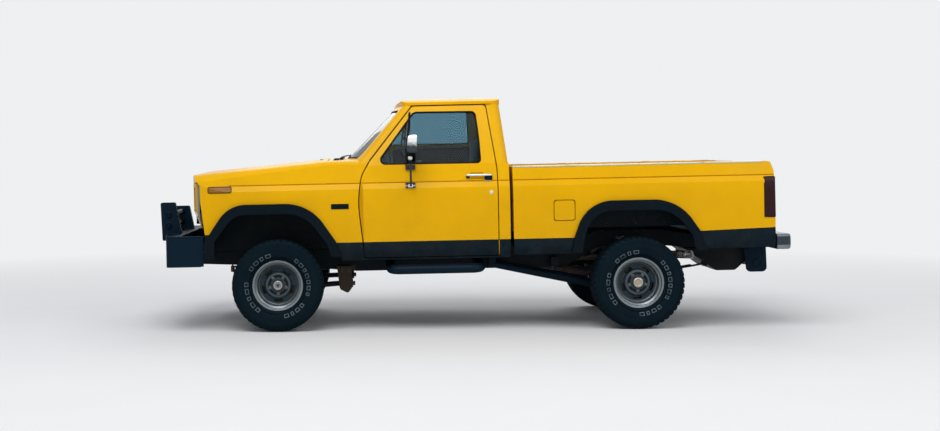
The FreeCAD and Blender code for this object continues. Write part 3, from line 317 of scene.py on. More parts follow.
BLACK = (0.0025, 0.0085, 0.0135)
YELLOW = (0.72, 0.375, 0.0005)
FRONT_AXIS = SEAT @ Vector((0, 0, 380))
REAR_AXIS = SEAT @ Vector((WHEELBASE, 0, REAR_Z))
M = {
    "paint": enamel("yellow_enamel", YELLOW, True),
    "fender_paint": enamel("fender_enamel", YELLOW, True, undercoat(1.19)),
    "bed_side_paint": enamel("bed_side_enamel", YELLOW, True, undercoat(0.8, 0.9)),
    "cab_paint": enamel("cab_enamel", YELLOW, True, undercoat(1.19, 0.8)),
    "bed_paint": worn("bed_enamel", (0.55, 0.29, 0.003), 0.45, 0.0, (0.13, 0.09, 0.06), 0.68, 0.15,
                      change=bed_tone),
    "jamb": enamel("yellow_edges", (0.66, 0.34, 0.001)),
    # Painted shade: a darker yellow for the pressed cups behind the door handles.
    "cup_shade": enamel("cup_painted_shade_enamel", (0.44, 0.225, 0.0005)),
    "black_trim": worn("black_flare", (0.0015, 0.0062, 0.0105), 0.55, 0.0, (0.018, 0.022, 0.026), 0.7, 0.03),
    "black_steel": worn("black_plate", (0.002, 0.012, 0.024), 0.6, 0.0, (0.012, 0.016, 0.022), 0.78, 0.03),
    "chassis": worn("chassis_black", (0.005, 0.01, 0.013), 0.6, 0.0, (0.02, 0.015, 0.012), 0.66, 0.06),
    "frame_steel": worn("frame_black", (0.005, 0.01, 0.013), 0.6, 0.0, (0.02, 0.015, 0.012), 0.66, 0.06,
                        change=frame_tone),
    "grille_metal": worn("grille_metal", (0.006, 0.01, 0.014), 0.4, 0.0, (0.05, 0.05, 0.05), 0.72, 0.05,
                         change=grille_tone),
    "rusty_steel": worn("rusty_steel", (0.05, 0.036, 0.028), 0.6, 0.5, (0.1, 0.05, 0.03), 0.52, 0.2),
    "exhaust_steel": worn("exhaust_steel", (0.1, 0.085, 0.075), 0.45, 0.8, (0.08, 0.045, 0.03), 0.56, 0.2,
                          change=within(3.322, 3.5, (0.82, 0.83, 0.84), 1.0)),
    "tank_steel": worn("tank_steel", (0.01, 0.013, 0.016), 0.5, 0.0, (0.03, 0.022, 0.018), 0.68, 0.12),
    "cast": worn("cast_iron", (0.03, 0.026, 0.024), 0.7, 0.4, (0.07, 0.04, 0.025), 0.56, 0.2, grain=120,
                 strength=0.5),
    "cast_aluminium": worn("cast_alloy", (0.3, 0.3, 0.29), 0.5, 0.8, (0.1, 0.09, 0.08), 0.55, 0.4, grain=120),
    "engine_paint": worn("engine_blue", (0.03, 0.06, 0.11), 0.5, 0.0, (0.05, 0.035, 0.025), 0.55, 0.4),
    "damper_paint": worn("damper_grey", (0.2, 0.2, 0.2), 0.4, 0.0, (0.08, 0.06, 0.05), 0.6, 0.2),
    "chrome": worn("chrome", (0.8, 0.81, 0.82), 0.1, 1.0, (0.2, 0.17, 0.14), 0.78, 0.08, strength=0.05),
    "mirror_metal": worn("mirror_shell", (0.006, 0.01, 0.014), 0.3, 0.01, (0.05, 0.05, 0.05), 0.8, 0.05,
                         change=mirror_painted_reflection),
    "bumper_chrome": worn("bumper_chrome", (0.21, 0.24, 0.27), 0.14, 1.0, (0.1, 0.09, 0.08), 0.74, 0.05,
                          change=within(0.628, 0.698, (0.008, 0.018, 0.026), 0.1, "level_z"), strength=0.05),
    "front_rim": worn("front_wheel_metal", (0.22, 0.25, 0.265), 0.22, 0.85, (0.12, 0.12, 0.12), 0.7, 0.1,
                      change=rim_painted_shade(FRONT_AXIS.x, FRONT_AXIS.z), Specular_IOR_Level=0.15),
    "rear_rim": worn("rear_wheel_metal", (0.22, 0.25, 0.265), 0.22, 0.85, (0.12, 0.12, 0.12), 0.7, 0.1,
                     change=rim_painted_shade(REAR_AXIS.x, REAR_AXIS.z), Specular_IOR_Level=0.15),
    "wheel_silver": worn("wheel_metal", (0.12, 0.14, 0.16), 0.35, 0.7, (0.12, 0.11, 0.1), 0.66, 0.15),
    # Painted shade: very dark metal for the wheels' shaded parts, used round the hubs, on the front centres
    # and on the brakes.
    "wheel_dark": worn("wheel_shade", (0.012, 0.02, 0.027), 0.45, 0.2, (0.03, 0.03, 0.03), 0.6, 0.1),
    "hub_metal": worn("hub_metal", (0.42, 0.42, 0.39), 0.25, 0.9, (0.15, 0.13, 0.1), 0.7, 0.1),
    "brass": worn("tan_hub", (0.4, 0.33, 0.2), 0.5, 0.2, (0.2, 0.15, 0.09), 0.66, 0.1),
    "letter": worn("letter_grey", (0.11, 0.145, 0.17), 0.8, 0.0, (0.06, 0.08, 0.09), 0.58, 0.1),
    "tyre": rubber("tire_rubber"),
    "seal": rubber("seal_rubber", (0.006, 0.007, 0.008), (0.02, 0.02, 0.02)),
    "red_lens": lens("red_lens", (0.035, 0.007, 0.01), 0.1, 0.1),
    "amber_lens": lens("amber_lens", (0.3, 0.13, 0.02), 0.1, 0.1),
    "clear_lens": lens("clear_lens", (0.8, 0.82, 0.82), 0.85, 0.6),
    "cabin_plastic": worn("cabin_plastic", (0.016, 0.017, 0.019), 0.6, 0.0, (0.03, 0.03, 0.03), 0.7, 0.1,
                          grain=700),
    "cabin_lining": cloth("cabin_lining", (0.05, 0.05, 0.048), 700),
    "seat_cloth": cloth("seat_cloth", (0.055, 0.048, 0.042)),
    "mirror_glass": worn("mirror_glass", (0.7, 0.74, 0.78), 0.05, 1.0, (0.3, 0.3, 0.3), 0.85, 0.1,
                         strength=0.0),
    "floor_mat": rubber("floor_mat", (0.012, 0.012, 0.013), (0.03, 0.03, 0.03)),
    "seat_piping": cloth("seat_piping", (0.02, 0.02, 0.02), 500),
    "engine_cover": worn("cover_enamel", (0.02, 0.05, 0.16), 0.35, 0.0, (0.05, 0.035, 0.025), 0.66, 0.4),
    "bottle": worn("washer_bottle", (0.42, 0.43, 0.4), 0.5, 0.0, (0.2, 0.19, 0.16), 0.6, 0.2),
    "rail_metal": worn("rail_metal", (0.62, 0.62, 0.5), 0.35, 0.5, (0.4, 0.3, 0.12), 0.62, 0.05,
                       strength=0.1),
}
glass = Shader("window_glass", (0.25, 0.42, 0.49), 0.02, Transmission_Weight=1.0, IOR=1.15,
               Specular_IOR_Level=0.2)
glass.put(Roughness=glass.step(glass.noise(5, 6), 0.0, 14.0))
M["glass"] = glass.mat
OWN = {"cab": "cab_paint", "fender_left": "fender_paint", "fender_right": "fender_paint",
       "grille": "grille_metal", "bed_side_left": "bed_side_paint", "bed_side_right": "bed_side_paint",
       "mirror_left": "mirror_metal", "mirror_right": "mirror_metal", "frame": "frame_steel",
       "rear_bumper": "bumper_chrome",
       **{f"rim_{end}_{side}": f"{end}_rim" for end in ("front", "rear") for side in ("left", "right")}}
for part in frame["record"]["subparts"]:
    cad = nodes[part["node"]]
    cad.data.materials.clear()
    cad.data.materials.append(M[OWN.get(part["node"], part["material_slot"])])


# Shapes

class Form:
    """Vertices and faces in level millimetres, with a material number on each face."""

    def __init__(self):
        self.points, self.faces, self.slots = [], [], []

    def add(self, points, faces, slot=0):
        start = len(self.points)
        self.points += [Vector(p) for p in points]
        self.faces += [[start + i for i in face] for face in faces]
        self.slots += [slot] * len(faces)
        return self

    def loft(self, rings, slot=0, loop=True, caps=True, around=False):
        """Skins a row of rings that have the same number of points."""
        n = len(rings[0])
        faces = []
        for k in range(len(rings) if around else len(rings) - 1):
            a, b = k * n, (k + 1) % len(rings) * n
            for i in range(n if loop else n - 1):
                j = (i + 1) % n
                faces.append([a + i, a + j, b + j, b + i])
        if caps and loop and not around:
            faces += [list(range(n))[::-1], [(len(rings) - 1) * n + i for i in range(n)]]
        return self.add([p for ring in rings for p in ring], faces, slot)

    def slab(self, outline, plane, low, high, slot=0):
        """An outline with rounded corners, extruded square to its plane."""
        put = {"xz": lambda u, v, w: (u, w, v), "yz": lambda u, v, w: (w, u, v),
               "xy": lambda u, v, w: (u, v, w)}[plane]
        flat = rounded(outline)
        return self.loft([[put(u, v, w) for u, v in flat] for w in (low, high)], slot)

    def plate(self, plane, u0, v0, u1, v1, radius, low, high, slot=0):
        """A rectangle from (u0, v0) to (u1, v1) with rounded corners, extruded from low to high."""
        return self.slab(rect(u0, v0, u1, v1, radius), plane, low, high, slot)

    def tube(self, points, radius, slot=0, sides=10, loop=False):
        """A round bar along a line of points; radius may be a list."""
        points = [Vector(p) for p in points]
        radii = radius if isinstance(radius, list) else [radius] * len(points)
        count = len(points)
        rings = []
        up = None
        for i, point in enumerate(points):
            ahead = points[(i + 1) % count] if loop or i < count - 1 else point
            back = points[i - 1] if loop or i > 0 else point
            way = (ahead - back).normalized()
            if up is None:
                up = way.orthogonal().normalized()
            up = (up - way * up.dot(way)).normalized()
            side = way.cross(up)
            rings.append([point + (up * cos(a) + side * sin(a)) * radii[i]
                          for a in (tau * k / sides for k in range(sides))])
        return self.loft(rings, slot, around=loop)

    def turned(self, profile, centre, slot=0, steps=48, way=(0, 1, 0)):
        """(radius, along) points revolved about a line through centre."""
        way = Vector(way).normalized()
        up = way.orthogonal().normalized()
        side = way.cross(up)
        centre = Vector(centre)
        rings = [[centre + way * along + (up * cos(a) + side * sin(a)) * radius
                  for radius, along in profile] for a in (tau * k / steps for k in range(steps))]
        return self.loft(rings, slot, loop=False, around=True)


def rect(u0, v0, u1, v1, radius=0):
    """The corners of a rectangle; the third number is a rounding radius, or a height in a ring."""
    return [(u0, v0, radius), (u1, v0, radius), (u1, v1, radius), (u0, v1, radius)]


def rounded(outline, per_turn=0.35):
    """Points round a closed outline whose corners are (u, v) or (u, v, radius)."""
    flat = []
    count = len(outline)
    for i, corner in enumerate(outline):
        here = Vector(corner[:2])
        radius = corner[2] if len(corner) > 2 else 0
        way_in = (here - Vector(outline[i - 1][:2])).normalized()
        way_out = (Vector(outline[(i + 1) % count][:2]) - here).normalized()
        turn = way_in.angle(way_out, 0)
        if not radius or turn < 0.01:
            flat.append(tuple(here))
            continue
        side = 1 if way_in.cross(way_out) > 0 else -1
        start = here - way_in * radius * tan(turn / 2)
        centre = start + Vector((-way_in.y, way_in.x)) * radius * side
        steps = max(2, ceil(turn / per_turn))
        for k in range(steps + 1):
            angle = side * turn * k / steps
            arm = start - centre
            flat.append((centre.x + arm.x * cos(angle) - arm.y * sin(angle),
                         centre.y + arm.x * sin(angle) + arm.y * cos(angle)))
    return flat


def bolt(radius, height, s=1):
    """The profile of a bolt head, for turned, that points to side s."""
    return [(0.1, s * height), (radius - 2, s * height), (radius, s * (height - 2)), (radius, 0)]


def make(name, form, body, materials, bevel, sharp):
    """Turns a form into an object in the row frame that rides on a CAD body."""
    mesh = bpy.data.meshes.new(name)
    mesh.from_pydata([SEAT @ p for p in form.points], [], form.faces)
    for polygon, number in zip(mesh.polygons, form.slots):
        polygon.material_index = number
    for key in ([materials] if isinstance(materials, str) else materials):
        mesh.materials.append(M[key])
    piece = bpy.data.objects.new(name, mesh)
    bpy.context.scene.collection.objects.link(piece)
    bpy.context.view_layer.objects.active = piece
    piece.select_set(True)
    bpy.ops.object.mode_set(mode="EDIT")
    bpy.ops.mesh.select_all(action="SELECT")
    bpy.ops.mesh.normals_make_consistent(inside=False)
    bpy.ops.object.mode_set(mode="OBJECT")
    piece.select_set(False)
    mesh.shade_smooth()
    mesh.set_sharp_from_angle(angle=radians(sharp))
    if bevel:
        rim = piece.modifiers.new("edges", "BEVEL")
        rim.width = bevel / 1000
        rim.segments = 2
        rim.angle_limit = radians(40)
        rim.harden_normals = False
    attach(piece, body)
    return piece


TREES = {}


def on_skin(node, start, way, lift=0.0):
    """Where a level line meets a CAD node, lifted off its surface; None where it misses."""
    if node not in TREES:
        mesh = nodes[node].data
        TREES[node] = bvhtree.BVHTree.FromPolygons([v.co for v in mesh.vertices],
                                                   [p.vertices for p in mesh.polygons])
    turn = SEAT.to_3x3()
    hit, normal, _, _ = TREES[node].ray_cast(SEAT @ Vector(start), (turn @ Vector(way)).normalized())
    if hit is None:
        return None
    return LEVEL @ hit - Vector(way).normalized() * lift


# Tires and wheels

WALL = [(209, 97), (213, 103), (224, 112), (240, 121), (252, 126), (300, 130.5), (330, 131), (350, 127),
        (362, 120), (369, 108), (372, 90), (372.5, 40)]


def make_tire(end, side, x, y, z):
    """An all-terrain tire: rounded carcass, staggered tread blocks, side bars and a ring of raised marks."""
    out = -1 if side == "left" else 1
    f = Form()
    profile = [(r, out * w) for r, w in WALL] + [(r, -out * w) for r, w in WALL[::-1]]
    f.turned(profile, (x, y, z), 0, 96)
    rows = [(0, 26, 0.0, 0.62, 0.1), (-50, 40, 0.5, 0.6, -0.12), (50, 40, 0.5, 0.6, -0.12),
            (-96, 40, 0.0, 0.52, 0.16), (96, 40, 0.0, 0.52, 0.16)]
    pitches = 46
    step = tau / pitches
    for middle, width, phase, length, slant in rows:
        for k in range(pitches):
            at = (k + phase) * step
            grid = []
            for u in (0, 1, 2):
                for v in (-0.5, 0.5):
                    w = middle + v * width
                    a = at + (u / 2 - 0.5) * length * step + slant * v * step * (1 if middle >= 0 else -1)
                    edge = abs(w) > 112
                    for r in ((366 if edge else 371), (374 if edge else 380 - 0.0004 * w * w)):
                        grid.append((x + r * sin(a), y + w, z + r * cos(a)))
            faces = []
            for u in (0, 1):
                a, b = u * 4, u * 4 + 4
                faces += [[a + 1, b + 1, b + 3, a + 3], [a, b, b + 1, a + 1], [a + 2, a + 3, b + 3, b + 2]]
            faces += [[0, 1, 3, 2], [8, 10, 11, 9]]
            f.add(grid, faces, 0)
    for sign in (out, -out):
        for k in range(pitches):
            at = (k + 0.25) * step
            grid = []
            for a in (at - step * 0.22, at + step * 0.22):
                for r, w in ((374, 112), (362, 122), (344, 130)):
                    grid.append((x + r * sin(a), y + sign * w, z + r * cos(a)))
                    grid.append((x + (r + 1) * sin(a), y + sign * (w + (4.5 if r > 350 else 1)),
                                 z + (r + 1) * cos(a)))
            faces = [[1, 7, 9, 3], [3, 9, 11, 5], [0, 1, 3, 2], [2, 3, 5, 4], [6, 8, 9, 7], [8, 10, 11, 9],
                     [4, 5, 11, 10]]
            f.add(grid, faces, 0)
        for r in (231, 284, 338):
            f.turned([(r - 1.6, sign * 122), (r - 0.8, sign * wall_at(r, 1.6)),
                      (r + 0.8, sign * wall_at(r, 1.6)), (r + 1.6, sign * 122)], (x, y, z), 0, 96)
    turn = 0 if end == "front" else 12
    for begin, finish, count in ((-62, -10, 4), (33, 112, 7), (124, 170, 4), (-146, -80, 5)):
        pitch = (finish - begin) / count
        for k in range(count):
            a = begin + turn + (k + 0.5) * pitch
            half = pitch * (0.3, 0.36, 0.24, 0.38)[k % 4]
            ring_mark(f, (x, y, z), out, radians(a - half), radians(a + half), 240, 271)
    tire = make(f"tire_tread_{end}_{side}", f, f"wheel_{end}_{side}", ["tyre", "letter"], 0, 32)
    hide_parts(f"tire_{end}_{side}")


def wall_at(r, lift=0.0):
    """The tire wall's half width at a radius."""
    for (r0, w0), (r1, w1) in zip(WALL[2:7], WALL[3:8]):
        if r0 <= r <= r1:
            return w0 + (w1 - w0) * (r - r0) / (r1 - r0) + lift
    return 112 + lift


def ring_mark(f, centre, sign, a0, a1, r0, r1):
    """A raised outline block that stands for the lettering on such tires."""
    x, y, z = centre
    pen = 5.2
    for lo_a, hi_a, lo_r, hi_r in ((a0, a1, r1 - pen, r1), (a0, a1, r0, r0 + pen),
                                   (a0, a0 + pen / r0, r0 + pen, r1 - pen),
                                   (a1 - pen / r0, a1, r0 + pen, r1 - pen)):
        grid = []
        for lift in (-1, 1.6):
            for a, r in ((lo_a, lo_r), (hi_a, lo_r), (hi_a, hi_r), (lo_a, hi_r)):
                grid.append((x + r * sin(a), y + sign * wall_at(r, lift), z + r * cos(a)))
        f.add(grid, [[4, 5, 6, 7], [0, 1, 5, 4], [1, 2, 6, 5], [2, 3, 7, 6], [3, 0, 4, 7]], 1)


def make_hub(end, side, x, y, z):
    """Lug nuts, locking hub, valve stem and the brake behind the wheel."""
    out = -1 if side == "left" else 1
    f = Form()
    for k in range(5):
        a = tau * (k + 0.5) / 5
        at = (x + 69.8 * sin(a), y + out * 45, z + 69.8 * cos(a))
        f.turned([(0.1, out * 22), (5, out * 22), (9, out * 17), (10.5, 0)], at, 0, 6)
        f.turned([(15, out * 0.5), (12, out * 3), (9, out * 3)], at, 0, 16)
    ring = [(37.5, 26), (38.5, 70), (37, 77), (33, 79), (28.5, 79), (27, 76.5)]
    cap = [(27.5, 77), (26, 72), (14, 72), (12, 76.5), (0.1, 76.5)]
    if end == "rear":
        ring = [(37.5, 26), (41, 70), (40, 78), (35, 81), (26, 81), (24, 78)]
        cap = [(24.5, 79), (22, 76.8), (0.1, 76.8)]
    f.turned([(r, out * w) for r, w in ring], (x, y, z), 1, 40)
    f.turned([(r, out * w) for r, w in cap], (x, y, z), 2, 40)
    f.turned([(66.5, out * 34), (63, out * 47), (48, out * 49), (37, out * 47.5)], (x, y, z), 3, 40)
    f.tube([(x + 150, y + out * 30, z + 96), (x + 152, y + out * 52, z + 92),
            (x + 151, y + out * 62, z + 90)], 4.5, 4, 8)
    # The front centres take the painted shade metal.
    centre = "brass" if end == "rear" else "wheel_dark"
    make(f"hub_{end}_{side}", f, f"wheel_{end}_{side}",
         ["wheel_silver", "hub_metal", centre, "wheel_dark", "seal"], 0.8, 30)
    g = Form()
    body = "chassis" if end == "rear" else f"knuckle_{side}_body"
    if end == "front":
        g.turned([(60, -out * 42), (148, -out * 42), (150, -out * 44), (150, -out * 60), (148, -out * 62),
                  (60, -out * 62)], (x, y, z), 0, 64)
        g.turned([(60, -out * 66), (172, -out * 66), (175, -out * 60), (176, -out * 68), (60, -out * 69)],
                 (x, y, z), 0, 64)
        caliper = [(60, -70, 12), (150, -60, 12), (156, 20, 20), (140, 70, 12), (70, 50, 12)]
        g.slab([(x + u, z + v, r) for u, v, r in caliper], "xz", out * -72 + y, out * -34 + y, 1)
    else:
        g.turned([(60, -out * 24), (136, -out * 24), (142, -out * 30), (142, -out * 84), (172, -out * 92),
                  (172, -out * 97), (60, -out * 99)], (x, y, z), 0, 64)
    # The brakes take the painted shade metal.
    make(f"brake_{end}_{side}", g, body, ["wheel_dark", "cast"], 1.0, 30)


for wheel in WHEELS:
    make_tire(*wheel)
    make_hub(*wheel)


# Body trim

def walk(outline, gap=0.0, pitch=45.0):
    """Points round an outline at an even pitch, moved outward by gap."""
    flat = [Vector(p) for p in rounded(outline, 0.2)]
    area = sum(a.x * b.y - b.x * a.y for a, b in zip(flat, flat[1:] + flat[:1]))
    turn = copysign(1, area)
    points = []
    for here, ahead in zip(flat, flat[1:] + flat[:1]):
        span = (ahead - here).length
        if span < 1e-6:
            continue
        way = (ahead - here) / span
        out = Vector((way.y, -way.x)) * turn * gap
        steps = max(1, round(span / pitch))
        points += [here + (ahead - here) * (k / steps) + out for k in range(steps)]
    return points


def met(hits):
    """The hits that are real, as a list."""
    return [hit for hit in hits if hit]


def side_skin(node, s, x, z, lift=0.0):
    """Where a line square to side s meets a node."""
    return on_skin(node, (x, s * OUTSIDE, z), (0, -s, 0), lift)


def side_line(node, s, points, lift):
    """The level places where an outline, seen from side s, meets a node."""
    return met(side_skin(node, s, x, z, lift) for x, z in points)


def end_line(node, points, start, way, lift):
    """The level places where an outline, seen from the front or the rear, meets a node."""
    return met(on_skin(node, (start, y, z), way, lift) for y, z in points)


def nose_line(node, points):
    """Where an outline seen from the front meets a node, a millimetre off its surface."""
    return end_line(node, points, -OUTSIDE, AFT, 1)


SCREEN = [(-815, 1410, 45), (815, 1410, 45), (668, 1806, 45), (-668, 1806, 45)]
BACK_GLASS = [(-640, 1425, 60), (640, 1425, 60), (600, 1765, 60), (-600, 1765, 60)]


def make_rubbers():
    """Rubber seals round the windshield, the rear window and the door glass."""
    f = Form()
    f.tube(end_line("windshield", walk(SCREEN, -5), 300, AFT, 3), 7, 0, 8, True)
    f.tube(end_line("rear_window", walk(BACK_GLASS, -5), 2100, AHEAD, 3), 7, 0, 8, True)
    make("screen_rubbers", f, "chassis", "seal", 0, 50)
    for side, s in SIDES:
        node = f"door_glass_{side}"
        f = Form()
        f.tube(side_line(node, s, walk(WINDOW, -4), 5), 8, 0, 8, True)
        divider = [(1071 + k * 47 / 6, 1352 + k * 72) for k in range(7)]
        f.tube(side_line(f"door_{side}", s, divider, 3), 9, 0, 8)
        make(f"window_rubber_{side}", f, f"door_{side}_body", "seal", 0, 50)


def make_drip_rails():
    """Dark rubber lines in the seams down the windshield pillars, a dark line along the roof's edge under the
    drip rails, and the cowl's side seals.
    """
    for side, s in SIDES:
        f = Form()
        # A dark line along the roof's edge, under the drip rail.
        edge = [(1130, 1841.5), (1190, 1841.5)] + [(x, 1841.5) for x in range(1270, 1791, 80)]
        f.tube(side_line("cab", s, edge, 0), 2.2, 0, 6)
        skin = side_line("cab", s, [(760 + k * 36.3, 1387 + k * 45) for k in range(11)], 0)
        for depth in (7, 15):
            f.tube([p + Vector((13, -s * depth, 0)) for p in skin], 4.4, 0, 6)
        make(f"drip_dark_lines_{side}", f, "chassis", "seal", 0, 50)
        g = Form()
        g.plate("xz", 728, 1330, 770, 1398, 4, s * 758, s * 764)
        make(f"cowl_seal_{side}", g, "chassis", "seal", 0.8, 50)


def make_handles():
    """Door handles: a slim bar on a foot and a button block kept black as a painted reflection, over a darker
    yellow plate that paints the shade of a pressed cup, and the locks.
    """
    for side, s in SIDES:
        f = Form()
        place = side_skin(f"door_{side}", s, 1767, 1111)
        f.turned([(15, -s * 2), (15, s * 2), (11, s * 3.5), (10, s * 2.5), (3, s * 2.5), (0.1, s * 2)], place,
                 0, 24)
        f.plate("xz", place.x - 1.2, place.z - 6, place.x + 1.2, place.z + 6, 0, place.y + s * 2,
                place.y + s * 3, 1)
        make(f"door_lock_{side}", f, f"door_{side}_body", ["chrome", "seal"], 0.4, 30)
        g = Form()
        bar = [(1563, 958), (1569, 970), (1586, 977), (1640, 978), (1710, 978), (1755, 977), (1771, 971),
               (1777, 958)]
        g.loft([[(x, s * (y + w), z) for w, z in ((-5, 1247), (1, 1247), (3, 1250), (3, 1258), (1, 1261),
                                                  (-5, 1261))] for x, y in bar], 0)
        g.slab([(1564, 1228, 6), (1593, 1228, 6), (1593, 1249, 2), (1564, 1249, 2)], "xz", s * 946, s * 967,
               1)
        # The button block and button are black: a painted dark reflection in place of their chrome.
        g.slab([(1713, 1210, 8), (1777, 1210, 8), (1777, 1249, 2), (1713, 1249, 2)], "xz", s * 946, s * 968,
               1)
        g.turned([(13, s * 966), (13, s * 974), (10, s * 976), (0.1, s * 976)], (1753, 0, 1228), 1, 20)
        g.plate("xz", 1714, 1207, 1776, 1210, 1, s * 952, s * 967)
        # A darker yellow plate on the skin: painted shade of the pressed cup.
        cup = []
        for z, x0, x1 in ((1222, 1604, 1706), (1228, 1598, 1710), (1250, 1598, 1710), (1272, 1600, 1708),
                          (1278, 1606, 1700)):
            y = side_skin(f"door_{side}", s, 1650, z).y
            cup.append(rect(x0, y + s * 0.8, x1, y - s * 3, z))
        g.loft(cup, 2)
        handle = make(f"door_handle_{side}", g, f"door_{side}_body", ["chrome", "black_steel", "cup_shade"],
                      0.8, 35)
        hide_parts(f"handle_{side}")


def make_markers():
    """Bezels round the side markers and tail lamps, the lamps' rear faces, a black plate on each front
    fender, the door jambs' edges and the fuel lid's pull.
    """
    marker = rect(-548, 1156, -365, 1197, 8)
    f = Form()
    for side, s in SIDES:
        f.tube(side_line(f"fender_{side}", s, walk(marker, 4), 2), 3.5, 0, 6, True)
        ring = [(4084, 1191), (4040, 1191), (3998, 1191), (3998, 1120), (3998, 1040), (3998, 940),
                (3998, 861), (4040, 861), (4084, 861)]
        f.tube(side_line(f"bed_side_{side}", s, ring, 1), 3.5, 1, 6)
        for z in (866, 952, 1045, 1186):
            f.plate("yz", s * 870, z - 3, s * 972, z + 3, 0, 4084, 4090, 1)
        for y in (873, 968):
            f.plate("yz", s * y - 3, 866, s * y + 3, 1186, 0, 4084, 4090, 1)
        f.plate("yz", s * 878, 957, s * 963, 1040, 4, 4084, 4088, 2)
        inner, outer = sorted((side_skin(f"fender_{side}", s, x, 1020).y for x in (455, 596)), key=abs)
        f.plate("xz", 453, 999, 598, 1042, 3, inner - s * 2, outer + s * 2.5, 3)
    make("lamp_bezels", f, "chassis", ["red_lens", "seal", "clear_lens", "black_trim"], 0.5, 40)
    f = Form()
    for s in (-1, 1):
        back = [side_skin("cab", s, 1850, z) for z in (594, 650, 719)]
        f.loft([rect(1821, p.y - s * 1.5, 1826, p.y - s * 9, p.z) for p in back])
    make("door_jamb_edges", f, "chassis", "jamb", 0, 50)
    f = Form()
    f.tube([(2300, -963, 905), (2300, -967, 905), (2300, -969, 912), (2300, -969, 930), (2300, -965, 936)], 3,
           0, 6)
    make("fuel_lid_pull", f, "fuel_door_body", "jamb", 0, 50)


def make_rails_and_bed():
    """Bed rails with stake pockets, bolts, the front wall's ribs, and the tailgate's fittings."""
    f = Form()
    for side, s in SIDES:
        for x0, x1 in ((1948, 2990), (2994, 3990)):
            f.slab([(s * 889, 1316), (s * 938, 1308), (s * 938, 1319), (s * 925, 1321.5, 2),
                    (s * 890, 1322, 2)], "yz", x0, x1, 0)
        for x in (2030, 2590, 3380, 3940):
            hole = rect(x - 34, 858, x + 34, 884, 6)
            f.slab([(u, s * v, r) for u, v, r in hole], "xy", 1318, 1320, 1)
            f.tube([(u, s * v, 1320) for u, v in walk(hole, 1)], 2.5, 2, 6, True)
        for k in range(9):
            f.turned([(7, -1), (7, 2), (4, 4), (0.1, 4.5)], (2010 + 240 * k, s * 838, 825), 2, 10, UP)
    for y in range(-616, 617, 112):
        for x in (2110, 2510, 3450, 3930):
            f.turned([(9, -1), (9, 1.5), (5, 4), (0.1, 4.5)], (x, y, BED_FLOOR), 3, 10, UP)
    for y in (-560, -280, 0, 280, 560):
        f.plate("yz", y - 26, 850, y + 26, 1270, 12, 1979, 1988, 2)
    make("bed_trim", f, "chassis", ["rail_metal", "seal", "bed_paint", "rusty_steel"], 0.8, 40)
    f = Form()
    f.plate("yz", -105, 1240, 105, 1296, 10, 4080, 4089)
    f.plate("yz", -88, 1252, 88, 1284, 8, 4088, 4098, 1)
    for s in (-1, 1):
        f.plate("yz", s * 640, 940, s * 660, 1195, 6, 4077, 4083, 2)
        f.turned([(16, 0), (16, s * 8), (9, s * 9), (0.1, s * 9)], (4060, s * 830, 852), 3, 16)
        f.plate("yz", s * 800, 1268, s * 838, 1306, 4, 4040, 4092, 3)
    for z in (960, 1020, 1080, 1140):
        f.plate("yz", -630, z - 9, 630, z + 9, 8, 4076, 4083, 2)
    make("tailgate_trim", f, "tailgate_body", ["seal", "chrome", "jamb", "rusty_steel"], 1.0, 40)


def make_cowl():
    """Wipers, cowl slots, washer jets and the hood's lip."""
    f = Form()
    for y in range(-700, 701, 50):
        place = on_skin("cab", (492, y, 1600), DOWN)
        if place and 1380 < place.z < 1425:
            f.plate("xy", 470, y - 17, 520, y + 17, 4, place.z - 2, place.z + 0.8, 1)
            for k in range(3):
                x = 479 + k * 16
                f.tube([(x, y - 15, place.z + 2), (x, y + 15, place.z + 2)], 3, 0, 6)
    for y, reach in ((-560, 1), (30, 1)):
        base = on_skin("cab", (540, y, 1600), DOWN)
        f.turned([(17, -4), (17, 10), (12, 20), (0.1, 21)], base, 2, 16, UP)
        arm = [(y + 95 + 395 * share, 1424 + 16 * share) for share in (k / 6 for k in range(7))]
        line = end_line("windshield", arm, 300, AFT, 9)
        f.tube(line, 4, 1, 6)
        f.tube([p + Vector((-3, 0, 3)) for p in line], 3, 2, 6)
        f.tube([base + Vector((0, 0, 16)), base.lerp(line[3], 0.5) + Vector((-6, 0, 14)),
                line[3] + Vector((-8, 0, 6))], [7, 5, 4], 2, 8)
    make("wipers_and_vents", f, "chassis", ["seal", "seal", "black_steel"], 0, 40)
    f = Form()
    for y in (-300, 300):
        place = on_skin("hood", (360, y, 1600), DOWN)
        f.turned([(9, -1), (8, 5), (4, 8), (0.1, 8.5)], place, 0, 12, UP)
    for y in (-620, -310, 0, 310, 620):
        rib = met(on_skin("hood", (x, y, 1000), UP, 1) for x in range(-640, 401, 80))
        loft_rib(f, rib, (0, 1, 0), 34, 16, 1)
    for x in (-560, -120, 330):
        rib = met(on_skin("hood", (x, y, 1000), UP, 1) for y in range(-760, 761, 95))
        loft_rib(f, rib, AFT, 34, 16, 1)
    make("hood_lining", f, "hood_body", ["seal", "jamb"], 0, 40)


def loft_rib(form, line, across, width, depth, slot):
    """A pressed rib hung under a line of points."""
    across = Vector(across)
    if len(line) < 3:
        return
    rings = [[p + across * width, p + across * width * 0.7 - Vector((0, 0, depth)),
              p - across * width * 0.7 - Vector((0, 0, depth)), p - across * width] for p in line]
    form.loft(rings, slot)


